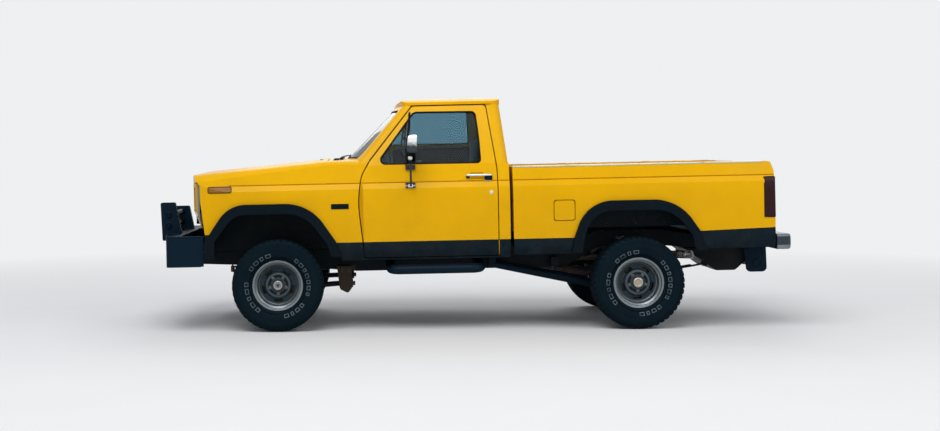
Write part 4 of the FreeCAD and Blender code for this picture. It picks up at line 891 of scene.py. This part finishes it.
def make_nose():
    """Headlamp rims and ribs, and the bumper's bolts and welds."""
    f = Form()
    for s in (-1, 1):
        for outline, radius, slot in ((rect(605, 1022, 875, 1196, 18), 5, 3),
                                      (rect(605, 892, 875, 982, 14), 4, 1)):
            line = nose_line("grille", [(s * u, v) for u, v in walk(outline, 5)])
            f.tube(line, radius, slot, 8, True)
        for k in range(11):
            y = s * (625 + 23 * k)
            line = [(y, z) for z in (1036, 1080, 1140, 1182)]
            f.tube(end_line("headlamps", line, -OUTSIDE, AFT, 0), 1.6, 2, 6)
        for z in (1032, 1186):
            line = [(s * y, z) for y in range(618, 866, 35)]
            f.tube(end_line("headlamps", line, -OUTSIDE, AFT, 0), 4, 0, 6)
    middle = rect(-560, 888, 560, 1200, 24)
    f.tube(nose_line("grille", walk(middle, 8)), 5, 3, 8, True)
    make("nose_trim", f, "chassis", ["chrome", "chrome", "clear_lens", "jamb"], 0, 50)
    g = Form()
    for y in (-439, 439):
        for z in (640, 700):
            g.turned(bolt(13, 13, -1), (-960, y, z), 1, 6, AFT)
            g.turned([(20, 0), (20, -3), (12, -3)], (-961, y, z), 1, 20, AFT)
    for s in (-1, 1):
        edge = ((-962, 400), (-955, 540), (-899, 950), (-860, 961), (-620, 961))
        for z, radius in ((797, 5), (552, 4)):
            g.tube([(x, s * y, z) for x, y in edge], radius, 2, 8)
        for y in (409, 469):
            g.tube([(-962, s * y, 800), (-900, s * y, 799), (-842, s * y, 799)], 5, 2, 6)
        for z in (960, 870):
            g.turned([(24, 0), (30, s * -4), (24, s * -9)], (-948, s * 412, z), 2, 24)
            g.turned([(24, 0), (30, s * 4), (24, s * 9)], (-948, s * 466, z), 2, 24)
            g.turned(bolt(14, 9, s), (-948, s * 466, z), 1, 6)
    make("bumper_fittings", g, "chassis", "black_steel", 0, 40)


def make_tail_trim():
    """The rear bumper's step pads and bolts, and the hitch's bolts and welds."""
    f = Form()
    f.slab([(4120, -620, 10), (4205, -560, 10), (4208, 560, 10), (4120, 620, 10)], "xy", 720, 724, 0)
    for k in range(9):
        y = -480 + 120 * k
        f.plate("xy", 4128, y - 40, 4198, y + 40, 4, 723, 726)
    for s in (-1, 1):
        place = on_skin("rear_bumper", (4400, s * 130, 698), AHEAD)
        f.turned([(0.1, 4), (10, 4), (12, -1)], place, 1, 8, AFT)
    make("rear_bumper_trim", f, "chassis", ["seal", "rusty_steel"], 0.6, 40)
    f = Form()
    for s in (-1, 1):
        for x, z in ((3995, 565), (4060, 565), (4125, 565)):
            f.turned(bolt(11, 11, s), (x, s * 410, z), 0, 6)
        f.turned([(34, 0), (40, s * 3), (34, s * 7)], (4075, s * 410, 440), 0, 24)
        f.turned([(40, 0), (34, -7)], (4075, s * 36, 440), 0, 24)
    f.plate("yz", -40, 400, 40, 480, 4, 4060, 4064)
    make("hitch_fittings", f, "chassis", "black_steel", 0.8, 40)


def make_mirror_details():
    """Mirror glass with its edge, the pivot's collars, and the bracket's plate and screws."""
    for side, s in SIDES:
        f = Form()
        f.plate("yz", s * 1022, 1450, s * 1162, 1585, 18, 1159, 1161)
        f.tube([(1160, u, v) for u, v in walk(rect(s * 1020, 1448, s * 1164, 1587, 18))], 3, 1, 6, True)
        f.turned([(0.1, -19), (11, -16), (17, -9), (19, 0), (17, 9), (11, 16), (0.1, 19)],
                 (1106, s * 1078, 1405), 2, 24, UP)
        f.turned([(14, -12), (16, -10), (16, 10), (14, 12)], (1108, s * 1078, 1372), 1, 20, UP)
        f.turned([(14, -14), (16, -10), (16, 10), (14, 14)], (1108, s * 1078, 1432), 1, 20, UP)
        f.plate("xz", 1086, 1166, 1128, 1192, 6, s * 988, s * 996, 2)
        for x in (1076, 1138):
            f.turned([(5, 0), (5, s * 3), (0.1, s * 5)], (x, s * 990, 1179), 2, 10)
        make(f"mirror_fittings_{side}", f, f"door_{side}_body", ["mirror_glass", "black_steel", "chrome"], 0,
             40)


# Cabin

def baked(piece):
    """Gives a piece its evaluated mesh and drops its modifiers."""
    mesh = bpy.data.meshes.new_from_object(piece.evaluated_get(bpy.context.evaluated_depsgraph_get()))
    piece.modifiers.clear()
    piece.data = mesh


def puffed(piece, cap, grid=0.012, frames=20):
    even = piece.modifiers.new("even", "REMESH")
    even.mode = "VOXEL"
    even.voxel_size = grid
    baked(piece)
    start = [v.co.copy() for v in piece.data.vertices]
    air = piece.modifiers.new("air", "CLOTH")
    air.settings.quality = 5
    air.settings.use_pressure = True
    air.settings.uniform_pressure_force = 4.0
    air.settings.effector_weights.gravity = 0.0
    for number in range(1, frames + 1):
        bpy.context.scene.frame_set(number)
    blown = piece.evaluated_get(bpy.context.evaluated_depsgraph_get()).data
    ends = [v.co.copy() for v in blown.vertices]
    piece.modifiers.remove(air)
    bpy.context.scene.frame_set(1)
    for vertex, first, last in zip(piece.data.vertices, start, ends):
        move = last - first
        vertex.co = first + move * min(1.0, cap / max(move.length, 1e-9))
    fine = piece.modifiers.new("fine", "SUBSURF")
    fine.levels = 1
    baked(piece)


def sew(piece, half, pleat, depth=0.009):
    """Presses the sewn channels of a bench into its finished surface."""
    normals = [v.normal.copy() for v in piece.data.vertices]
    for vertex, normal in zip(piece.data.vertices, normals):
        y = vertex.co.y * 1000
        valley = abs((y / pleat) % 1 - 0.5) * 2
        if abs(y) < half - 50:
            vertex.co -= normal * depth * max(0.0, (valley - 0.78) / 0.22) ** 1.5


def cushion(name, outline, half, replaced, pleat=118.0):
    """A bench pad: crowned between its ends, pulled in at the edges, with sewn channels and piping."""
    loop = [Vector((u, v)) for u, v in walk(outline, 0, 24)]
    middle = sum(loop, Vector((0, 0))) / len(loop)
    arms = [p - middle for p in loop]
    f = Form()
    rings = []
    count = 60
    for i in range(count + 1):
        y = -half + 2 * half * i / count
        edge = min(1.0, (half - abs(y)) / 55)
        shrink = 1 - 0.3 * (1 - sin(edge * pi / 2)) if edge < 1 else 1.0
        crown = 6 * cos(pi * y / (2 * half)) - 3
        ring = [middle + arm * shrink + arm.normalized() * (crown - 8) for arm in arms]
        rings.append([(q.x, y, q.y) for q in ring])
    f.loft(rings, 0)
    piece = make(name, f, "chassis", "seat_cloth", 0, 60)
    puffed(piece, 0.022)
    sew(piece, half, pleat)
    piece.data.materials.clear()
    piece.data.materials.append(M["seat_cloth"])
    piece.data.shade_smooth()
    if replaced:
        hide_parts(replaced)
    skin = bvhtree.BVHTree.FromPolygons([v.co for v in piece.data.vertices],
                                        [p.vertices for p in piece.data.polygons])
    g = Form()
    for s in (-1, 1):
        start = SEAT @ Vector((middle.x, s * (half - 38), middle.y))
        ring = []
        for p in loop:
            way = SEAT.to_3x3() @ Vector((p.x - middle.x, 0, p.y - middle.y)).normalized()
            hit = skin.ray_cast(start, way.normalized())[0]
            if hit:
                ring.append(LEVEL @ (hit + way.normalized() * 0.001))
        g.tube(ring, 4, 0, 6, True)
    make(f"{name}_piping", g, "chassis", "seat_piping", 0, 60)


def make_seat():
    """Two padded benches, the cushion in place of the CAD's plain seat."""
    cushion("seat_cushion", [(1244, 905, 30), (1252, 1040, 60), (1690, 1000, 40), (1690, 892, 20)], 684,
            "seat")
    cushion("seat_back", [(1676, 915, 40), (1704, 1468, 45), (1792, 1474, 40), (1830, 915, 30)], 684, None)
    f = Form()
    f.plate("xy", 1300, -640, 1700, 640, 20, 858, 880)
    for s in (-1, 1):
        for x in (1330, 1640):
            f.slab([(x, 674, 4), (x + 40, 674, 4), (x + 30, 860, 4), (x + 10, 860, 4)], "xz", s * 590,
                   s * 560, 0)
        f.plate("xz", 1290, 674, 1720, 690, 4, s * 600, s * 550)
    make("seat_frame", f, "chassis", "black_steel", 1.0, 40)


def make_dash():
    """Instruments, vents, radio, column, pedals, levers, mats, roof lining and door linings."""
    f = Form()
    f.plate("yz", -620, 1150, -190, 1285, 24, 955, 966)
    for u, v, r in ((-530, 1220, 48), (-405, 1220, 58), (-285, 1220, 44)):
        f.turned([(r, -2), (r, 5), (r - 6, 6), (r - 7, 2)], (966, u, v), 1, 40, AFT)
        f.turned([(r - 6, 1.0), (0.1, 1.0)], (966, u, v), 2, 40, AFT)
        for k in range(11):
            a = radians(-130 + 26 * k)
            place = [(967.6, u + (r - 10) * sin(a), v + (r - 10) * cos(a)),
                     (967.6, u + (r - 17) * sin(a), v + (r - 17) * cos(a))]
            f.tube(place, 1.1, 3, 5)
        f.tube([(968.5, u, v), (968.5, u - r * 0.5, v + r * 0.35)], 1.4, 4, 5)
    for y in (-760, -100, 760):
        f.plate("yz", y - 62, 1180, y + 62, 1250, 8, 956, 967, 1)
        for k in range(5):
            f.plate("yz", y - 56, 1186 + 13 * k, y + 56, 1192 + 13 * k, 2, 966, 972)
    f.plate("yz", -20, 1100, 180, 1160, 8, 944, 960, 1)
    for y in (0, 160):
        f.turned([(13, 0), (12, 16), (0.1, 16)], (958, y, 1130), 3, 20, AFT)
    f.plate("yz", 30, 1118, 130, 1144, 3, 958, 963, 2)
    f.plate("yz", -20, 1180, 180, 1250, 8, 952, 964, 1)
    for k in range(3):
        f.plate("yz", 20 + 50 * k, 1200, 30 + 50 * k, 1220, 3, 962, 974, 3)
    f.plate("yz", 270, 1080, 680, 1165, 14, 944, 958)
    f.turned([(11, 0), (10, 8), (0.1, 8)], (957, 475, 1140), 3, 16, AFT)
    f.slab([(-840, 1300, 10), (840, 1300, 10), (840, 1336, 14), (-840, 1336, 14)], "yz", 700, 938, 5)
    f.slab([(900, 1296, 10), (1000, 1290, 20), (992, 1276, 8), (900, 1272, 6)], "xz", -640, -170, 0)
    make("dash_trim", f, "chassis", ["cabin_plastic", "black_trim", "seal", "chrome", "red_lens",
                                     "cabin_plastic"], 0.8, 40)
    g = Form()
    g.tube([(1040, -420, 1190), (1050, -500, 1215), (1062, -560, 1235)], [5, 4, 6], 0, 8)
    g.turned([(34, 0), (34, 60), (28, 66)], (1060, -400, 1207), 1, 28, (0.883, 0, 0.469))
    for y, x, z, w, h in ((-480, 760, 800, 66, 50), (-370, 760, 800, 76, 50), (-285, 745, 770, 44, 110)):
        g.plate("yz", y - w / 2, z - h / 2, y + w / 2, z + h / 2, 6, x, x + 14)
        g.tube([(x, y, z), (x - 30, y, z + 90), (x - 40, y, z + 190)], 7, 1, 8)
    for base, knob in (((1060, 20, 800), (1150, -20, 1120)), ((1150, 90, 800), (1190, 110, 1000))):
        base, knob = Vector(base), Vector(knob)
        g.tube([base, base.lerp(knob, 0.5) + Vector((12, 0, 0)), knob], 6, 1, 10)
        g.turned([(0.1, -18), (14, -14), (19, 0), (15, 14), (0.1, 19)], knob, 0, 20, UP)
        g.turned([(46, -4), (44, 8), (26, 34), (10, 58), (6, 60)], base, 0, 20, UP)
    for s in (-1, 1):
        g.plate("xy", 705, s * 235, 1290, s * 862, 20, 673, 680, 2)
    g.plate("xy", 1085, -690, 1840, 690, 30, 1846, 1853, 3)
    for s in (-1, 1):
        g.slab([(1085, s * 90, 14), (1190, s * 90, 14), (1200, s * 560, 14), (1095, s * 560, 14)], "xy", 1826,
               1842, 3)
    g.plate("yz", -105, 1752, 105, 1806, 14, 1052, 1072)
    g.plate("yz", -98, 1757, 98, 1801, 12, 1071, 1074, 4)
    g.tube([(1058, 0, 1800), (1070, 0, 1850)], 6, 1, 8)
    g.turned([(60, -2), (60, -10), (52, -16), (0.1, -16)], (1430, 0, 1848), 5, 28, UP)
    make("cabin_fittings", g, "chassis", ["cabin_plastic", "black_steel", "floor_mat", "cabin_lining",
                                          "mirror_glass", "clear_lens"], 0.8, 40)
    for side, s in SIDES:
        h = Form()
        h.plate("xz", 990, 640, 1786, 1325, 30, s * 881.5, s * 873)
        h.slab([(1120, 955, 20), (1640, 955, 20), (1640, 1010, 25), (1180, 1010, 25)], "xz", s * 874, s * 812,
               1)
        h.plate("xz", 1020, 700, 1750, 900, 30, s * 874, s * 868, 2)
        h.turned([(20, 0), (18, s * -12), (0.1, s * -12)], (1300, s * 873, 1120), 1, 20)
        h.tube([(1300, s * 862, 1120), (1330, s * 850, 1085), (1350, s * 846, 1062)], 6, 3, 8)
        h.turned([(0.1, s * -14), (12, s * -12), (14, 0), (12, s * 12)], (1352, s * 842, 1060), 1, 16)
        h.plate("xz", 1150, 1190, 1250, 1215, 8, s * 873, s * 858, 3)
        make(f"door_lining_{side}", h, f"door_{side}_body",
             ["cabin_plastic", "cabin_plastic", "cabin_lining", "chrome"], 1.0, 40)


# Engine and underside

def make_engine():
    """A V8 with its covers, manifold, round air cleaner, belts, fan and sump, inside the CAD block."""
    f = Form()
    f.slab([(-130, 740, 20), (130, 740, 20), (190, 880, 20), (120, 990, 20), (-120, 990, 20),
            (-190, 880, 20)], "yz", -20, 470, 0)
    f.slab([(10, 745, 10), (10, 640, 30), (200, 622, 20), (360, 700, 30), (460, 745, 10)], "xz", -105, 105, 0)
    for s in (-1, 1):
        tilt = [(s * 118, 985), (s * 196, 880), (s * 236, 908), (s * 158, 1020)]
        f.slab([(y, z, 8) for y, z in tilt], "yz", -10, 462, 0)
        cover = [(s * 150, 1012, 10), (s * 232, 905, 10), (s * 250, 935, 20), (s * 190, 1040, 24)]
        f.slab(cover, "yz", 0, 452, 1)
        for x in (60, 225, 392):
            f.turned([(9, 0), (9, 6), (4, 8), (0.1, 8)], (x, s * 222, 990), 4, 10, (0, s * 0.8, 0.6))
        f.turned([(22, 0), (22, 16), (14, 20), (0.1, 20)], (90 if s > 0 else 380, s * 205, 1010), 4, 16,
                 (0, s * 0.6, 0.8))
        for x in (40, 165, 290, 415):
            f.tube([(x, s * 200, 880), (x, s * 238, 850), (x + 10, s * 240, 810)], 17, 3, 10)
        f.tube([(20, s * 232, 806), (440, s * 232, 800), (490, s * 225, 760)], 23, 3, 12)
    f.slab([(-112, 985, 12), (112, 985, 12), (80, 1040, 16), (-80, 1040, 16)], "yz", 30, 430, 2)
    f.plate("xy", 150, -60, 290, 60, 14, 1036, 1070, 2)
    f.turned([(55, 0), (60, 10), (140, 14), (178, 20), (184, 26), (184, 40), (178, 46), (60, 50), (20, 49),
              (0.1, 49)], (220, 0, 1064), 1, 48, UP)
    f.turned([(12, 48), (14, 54), (0.1, 55)], (220, 0, 1064), 4, 12, UP)
    f.tube([(90, -120, 1096), (0, -180, 1090), (-60, -210, 1080)], [30, 28, 32], 1, 14)
    f.turned([(30, 0), (30, 40), (34, 44), (30, 60), (0.1, 62)], (440, 40, 1010), 4, 20, UP)
    for y, z, r in ((0, 740, 76), (0, 880, 62), (-165, 960, 38), (150, 820, 44), (120, 960, 30)):
        f.turned([(r, 0), (r, -6), (r - 8, -10), (r - 8, -16), (r, -20), (r, -26), (12, -28), (0.1, -28)],
                 (-22, y, z), 4, 32, AFT)
    f.turned([(52, 0), (56, 10), (56, 80), (48, 92), (0.1, 92)], (-20, -165, 960), 2, 24, AFT)
    belt = [(0, 664), (74, 720), (150 + 42, 810), (158, 862), (122, 990), (0, 940), (-165, 998), (-203, 960),
            (-70, 720)]
    f.tube([(-36, y, z) for y, z in belt], 5, 4, 6, True)
    f.turned([(30, 0), (30, -16), (0.1, -18)], (-50, 0, 880), 2, 20, AFT)
    for k in range(6):
        a = tau * k / 6
        tip = [(-62, 24 * sin(a + 0.5), 880 + 24 * cos(a + 0.5)),
               (-82, 24 * sin(a - 0.5), 880 + 24 * cos(a - 0.5)),
               (-86, 205 * sin(a - 0.16), 880 + 205 * cos(a - 0.16)),
               (-64, 205 * sin(a + 0.2), 880 + 205 * cos(a + 0.2))]
        f.loft([[Vector(p) + Vector((d, 0, 0)) for p in tip] for d in (0, 2.5)], 5)
    engine = make("engine_detailed", f, "chassis", ["engine_paint", "engine_cover", "cast_aluminium", "cast",
                                                    "black_steel", "wheel_silver"], 1.0, 40)
    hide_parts("engine")


def make_bay():
    """Battery, washer bottle, brake booster and cylinder, and the radiator's fins, cap, hoses and shroud."""
    f = Form()
    f.plate("xy", -430, -760, -240, -560, 10, 1118, 1200)
    f.plate("xy", -425, -755, -245, -565, 10, 1200, 1212, 1)
    for x in (-400, -270):
        f.turned([(10, 0), (9, 14), (0.1, 14)], (x, -600, 1212), 2, 14, UP)
    f.plate("xy", -430, 560, -250, 760, 30, 1118, 1225, 3)
    f.turned([(26, 0), (26, 16), (0.1, 18)], (-340, 660, 1225), 0, 24, UP)
    f.turned([(110, 0), (118, 12), (118, 50), (100, 72), (40, 84), (0.1, 84)], (632, -400, 1110), 0, 40,
             AHEAD)
    f.plate("xz", 430, 1090, 548, 1140, 10, -425, -375, 2)
    f.plate("xz", 440, 1140, 538, 1172, 8, -428, -372)
    for y in range(-370, 371, 20):
        f.tube([(-586, y, 700), (-586, y, 1170)], 2, 2, 4)
    f.plate("yz", -395, 1165, 395, 1196, 10, -590, -515)
    f.turned([(28, 0), (28, 12), (22, 16), (0.1, 16)], (-550, 180, 1196), 2, 24, UP)
    f.tube([(-523, 250, 1130), (-440, 250, 1128), (-330, 190, 1090), (-180, 120, 1050), (-60, 60, 1030),
            (20, 40, 1030)], 20, 0, 14)
    f.tube([(-523, -250, 740), (-420, -250, 735), (-250, -160, 760), (-90, -60, 800), (-22, -40, 820)], 20, 0,
           14)
    for y in (-140, 80):
        f.turned([(34, 0), (34, -10), (20, -14), (0.1, -14)], (-523 + 30, y, 960), 0, 20, AHEAD)
    f.tube([(-500, -300, 690), (-500, -300, 1175), (-500, 300, 1175), (-500, 300, 690)], 9, 0, 8, True)
    make("engine_bay_fittings", f, "chassis", ["black_steel", "seal", "cast_aluminium", "bottle"], 1.0, 40)


def make_underside():
    """Axle covers and bolts, tank straps, pipe clamps, radius arm bushes, shaft rings and step pads."""
    f = Form()
    f.turned([(112, 0), (116, 6), (112, 12), (96, 30), (60, 44), (0.1, 48)], (WHEELBASE + 108, 40, REAR_Z), 0,
             40, AFT)
    for k in range(10):
        a = tau * k / 10
        f.turned([(0.1, 19), (7, 19), (8, 17), (8, 10)],
                 (WHEELBASE + 108, 40 + 104 * sin(a), REAR_Z + 104 * cos(a)), 1, 6, AFT)
    f.turned([(84, 0), (88, 5), (84, 10), (60, 26), (0.1, 34)], (14 + 78, -230, 405), 0, 36, AFT)
    for k in range(8):
        a = tau * k / 8
        f.turned([(0.1, 17), (6, 17), (7, 15), (7, 8)], (14 + 78, -230 + 78 * sin(a), 405 + 78 * cos(a)), 1,
                 6, AFT)
    for s in (-1, 1):
        for x in (-44, 44):
            f.tube([(WHEELBASE + x, s * 462, REAR_Z + 108), (WHEELBASE + x, s * 462, REAR_Z - 44),
                    (WHEELBASE + x, s * 478, REAR_Z - 62), (WHEELBASE + x, s * 526, REAR_Z - 62),
                    (WHEELBASE + x, s * 542, REAR_Z - 44), (WHEELBASE + x, s * 542, REAR_Z + 108)], 7, 1, 8)
    f.plate("xy", WHEELBASE - 70, 455, WHEELBASE + 70, 549, 8, REAR_Z + 92, REAR_Z + 104)
    tank = [(3602, 604), (3556, 577, 10), (3471, 577, 8), (3736, 375, 45), (3907, 375, 44), (4014, 468, 40),
            (4014, 604)]
    for y in (-200, 200):
        ring = rounded(tank)
        f.loft([[(u, y + w, v) for u, v in ring] for w in (-18, 18)], 1, loop=False, caps=False)
    for x in (1545, 1975):
        f.turned([(63, -6), (65, -4), (65, 4), (63, 6)], (x, -292, 580), 2, 32, AFT)
    for x, z in ((620, 602), (1200, 602), (1480, 602)):
        f.turned([(27, -9), (30, -7), (30, 7), (27, 9)], (x, -300, z), 2, 20, AFT)
        f.tube([(x, -300, z + 30), (x, -300, z + 60)], 5, 1, 8)
    for s in (-1, 1):
        for x in (577, 605):
            f.turned([(22, -9), (34, -8), (36, 0), (34, 8), (22, 9)], (x, s * 445, 346), 0, 24, AFT)
        f.turned([(0.1, 14), (18, 14), (20, 11), (20, 0)], (616, s * 445, 346), 1, 6, AFT)
        for z in (455, 475):
            f.turned(bolt(11, 9, s), (520, s * 492, z), 1, 6)
            f.turned(bolt(11, 9, s), (580, s * 492, z), 1, 6)
    f.plate("xy", 940, -95, 1140, 95, 14, 560, 577)
    for x, y in ((150, -226), (1130, -152), (1432, 0), (2700, 36)):
        z = 432 if x == 150 else 606 if x < 1500 else 372
        f.turned([(40, -12), (42, -8), (42, 8), (40, 12)], (x, y, z), 1, 16, (1, 0.02, -0.1))
    make("underside_fittings", f, "chassis", ["cast", "rusty_steel", "exhaust_steel"], 0.8, 40)
    g = Form()
    g.tube([(935, -900, 526), (1677, -900, 526)], 3, 0, 6)
    for s in (-1, 1):
        for x0 in (985, 1345):
            g.plate("xy", x0, s * 880, x0 + 290, s * 918, 10, 520, 527)
            for k in range(14):
                g.plate("xy", x0 + 12 + 20 * k, s * 884, x0 + 20 + 20 * k, s * 914, 2, 526, 529)
    make("step_pads", g, "chassis", "seal", 0, 40)


for build in (make_rubbers, make_drip_rails, make_handles, make_markers, make_rails_and_bed, make_cowl,
              make_nose, make_tail_trim, make_mirror_details, make_seat, make_dash, make_engine, make_bay,
              make_underside):
    build()


# Lights, floor and camera

def seen_ray(tree):
    """One for the rays that show the backdrop: the camera's own, and those that metal and glass send on."""
    path = tree.nodes.new("ShaderNodeLightPath")
    total = path.outputs["Is Camera Ray"]
    for name in ("Is Glossy Ray", "Is Transmission Ray"):
        node = tree.nodes.new("ShaderNodeMath")
        node.operation = "MAXIMUM"
        tree.links.new(total, node.inputs[0])
        tree.links.new(path.outputs[name], node.inputs[1])
        total = node.outputs[0]
    return total


def make_stage():
    """A pale floor that fades into a plain backdrop, and a soft sky with three large lamps."""
    bpy.ops.mesh.primitive_plane_add(size=160, location=(0, 0, 0))
    floor = bpy.context.object
    floor.name = "floor"
    s = Shader("pale_floor", (0.66, 0.66, 0.66), 0.9)
    s.put(**{"Base Color": s.mix(s.step(s.noise(1.5, 6), 0.3, 0.7), (0.66, 0.66, 0.66),
                                 (0.645, 0.645, 0.65))})
    glow = s.new("ShaderNodeEmission", {0: (*BACKDROP, 1), 1: 1.0})
    far = s.new("ShaderNodeVectorMath", {0: s.place}, operation="LENGTH").outputs[1]
    share = s.times(s.step(far, 3.5, 10.0), seen_ray(s.tree))
    blend = s.new("ShaderNodeMixShader", {0: share, 1: s.bsdf.outputs[0], 2: glow.outputs[0]})
    s.tree.links.new(blend.outputs[0], s.tree.nodes["Material Output"].inputs[0])
    floor.data.materials.append(s.mat)
    world = bpy.data.worlds.new("studio")
    bpy.context.scene.world = world
    world.use_nodes = True
    tree = world.node_tree
    light = tree.nodes["Background"]
    light.inputs[0].default_value = (0.86, 0.92, 1.0, 1)
    light.inputs[1].default_value = 0.46
    shown = tree.nodes.new("ShaderNodeBackground")
    shown.inputs[0].default_value = (*BACKDROP, 1)
    shown.inputs[1].default_value = 1.0
    mixer = tree.nodes.new("ShaderNodeMixShader")
    tree.links.new(seen_ray(tree), mixer.inputs[0])
    tree.links.new(light.outputs[0], mixer.inputs[1])
    tree.links.new(shown.outputs[0], mixer.inputs[2])
    tree.links.new(mixer.outputs[0], tree.nodes["World Output"].inputs[0])
    lamps = [("key", (-2.5, -6.5, 10.0), 8.0, 960), ("fill", (6.5, -6.5, 6.0), 7.0, 260),
             ("back", (1.0, 8.0, 7.0), 9.0, 420)]
    for name, place, size, power in lamps:
        data = bpy.data.lights.new(name, "AREA")
        data.size = size
        data.energy = power
        lamp = bpy.data.objects.new(name, data)
        bpy.context.scene.collection.objects.link(lamp)
        lamp.location = place
        lamp.rotation_euler = (Vector((0, 0, 0.8)) - Vector(place)).to_track_quat("-Z", "Y").to_euler()


def make_camera():
    """The photograph's view: square to the left side, from in front of the truck's middle."""
    data = bpy.data.cameras.new("camera")
    data.sensor_width = 36.0
    data.lens = 55.3
    data.shift_x = 0.107
    data.shift_y = -0.0644
    camera = bpy.data.objects.new("camera", data)
    bpy.context.scene.collection.objects.link(camera)
    near_side = -0.984
    distance = 11.8
    pixel = 0.00817
    right, above = 93.2 * pixel, 130.7 * pixel
    wheel = SEAT @ Vector((0, -827, 380))
    camera.location = (wheel.x + right, near_side - distance, wheel.z + above)
    camera.rotation_euler = (radians(90), radians(0.45), 0)
    bpy.context.scene.camera = camera
    bpy.context.scene.view_settings.view_transform = "Standard"


make_stage()
make_camera()
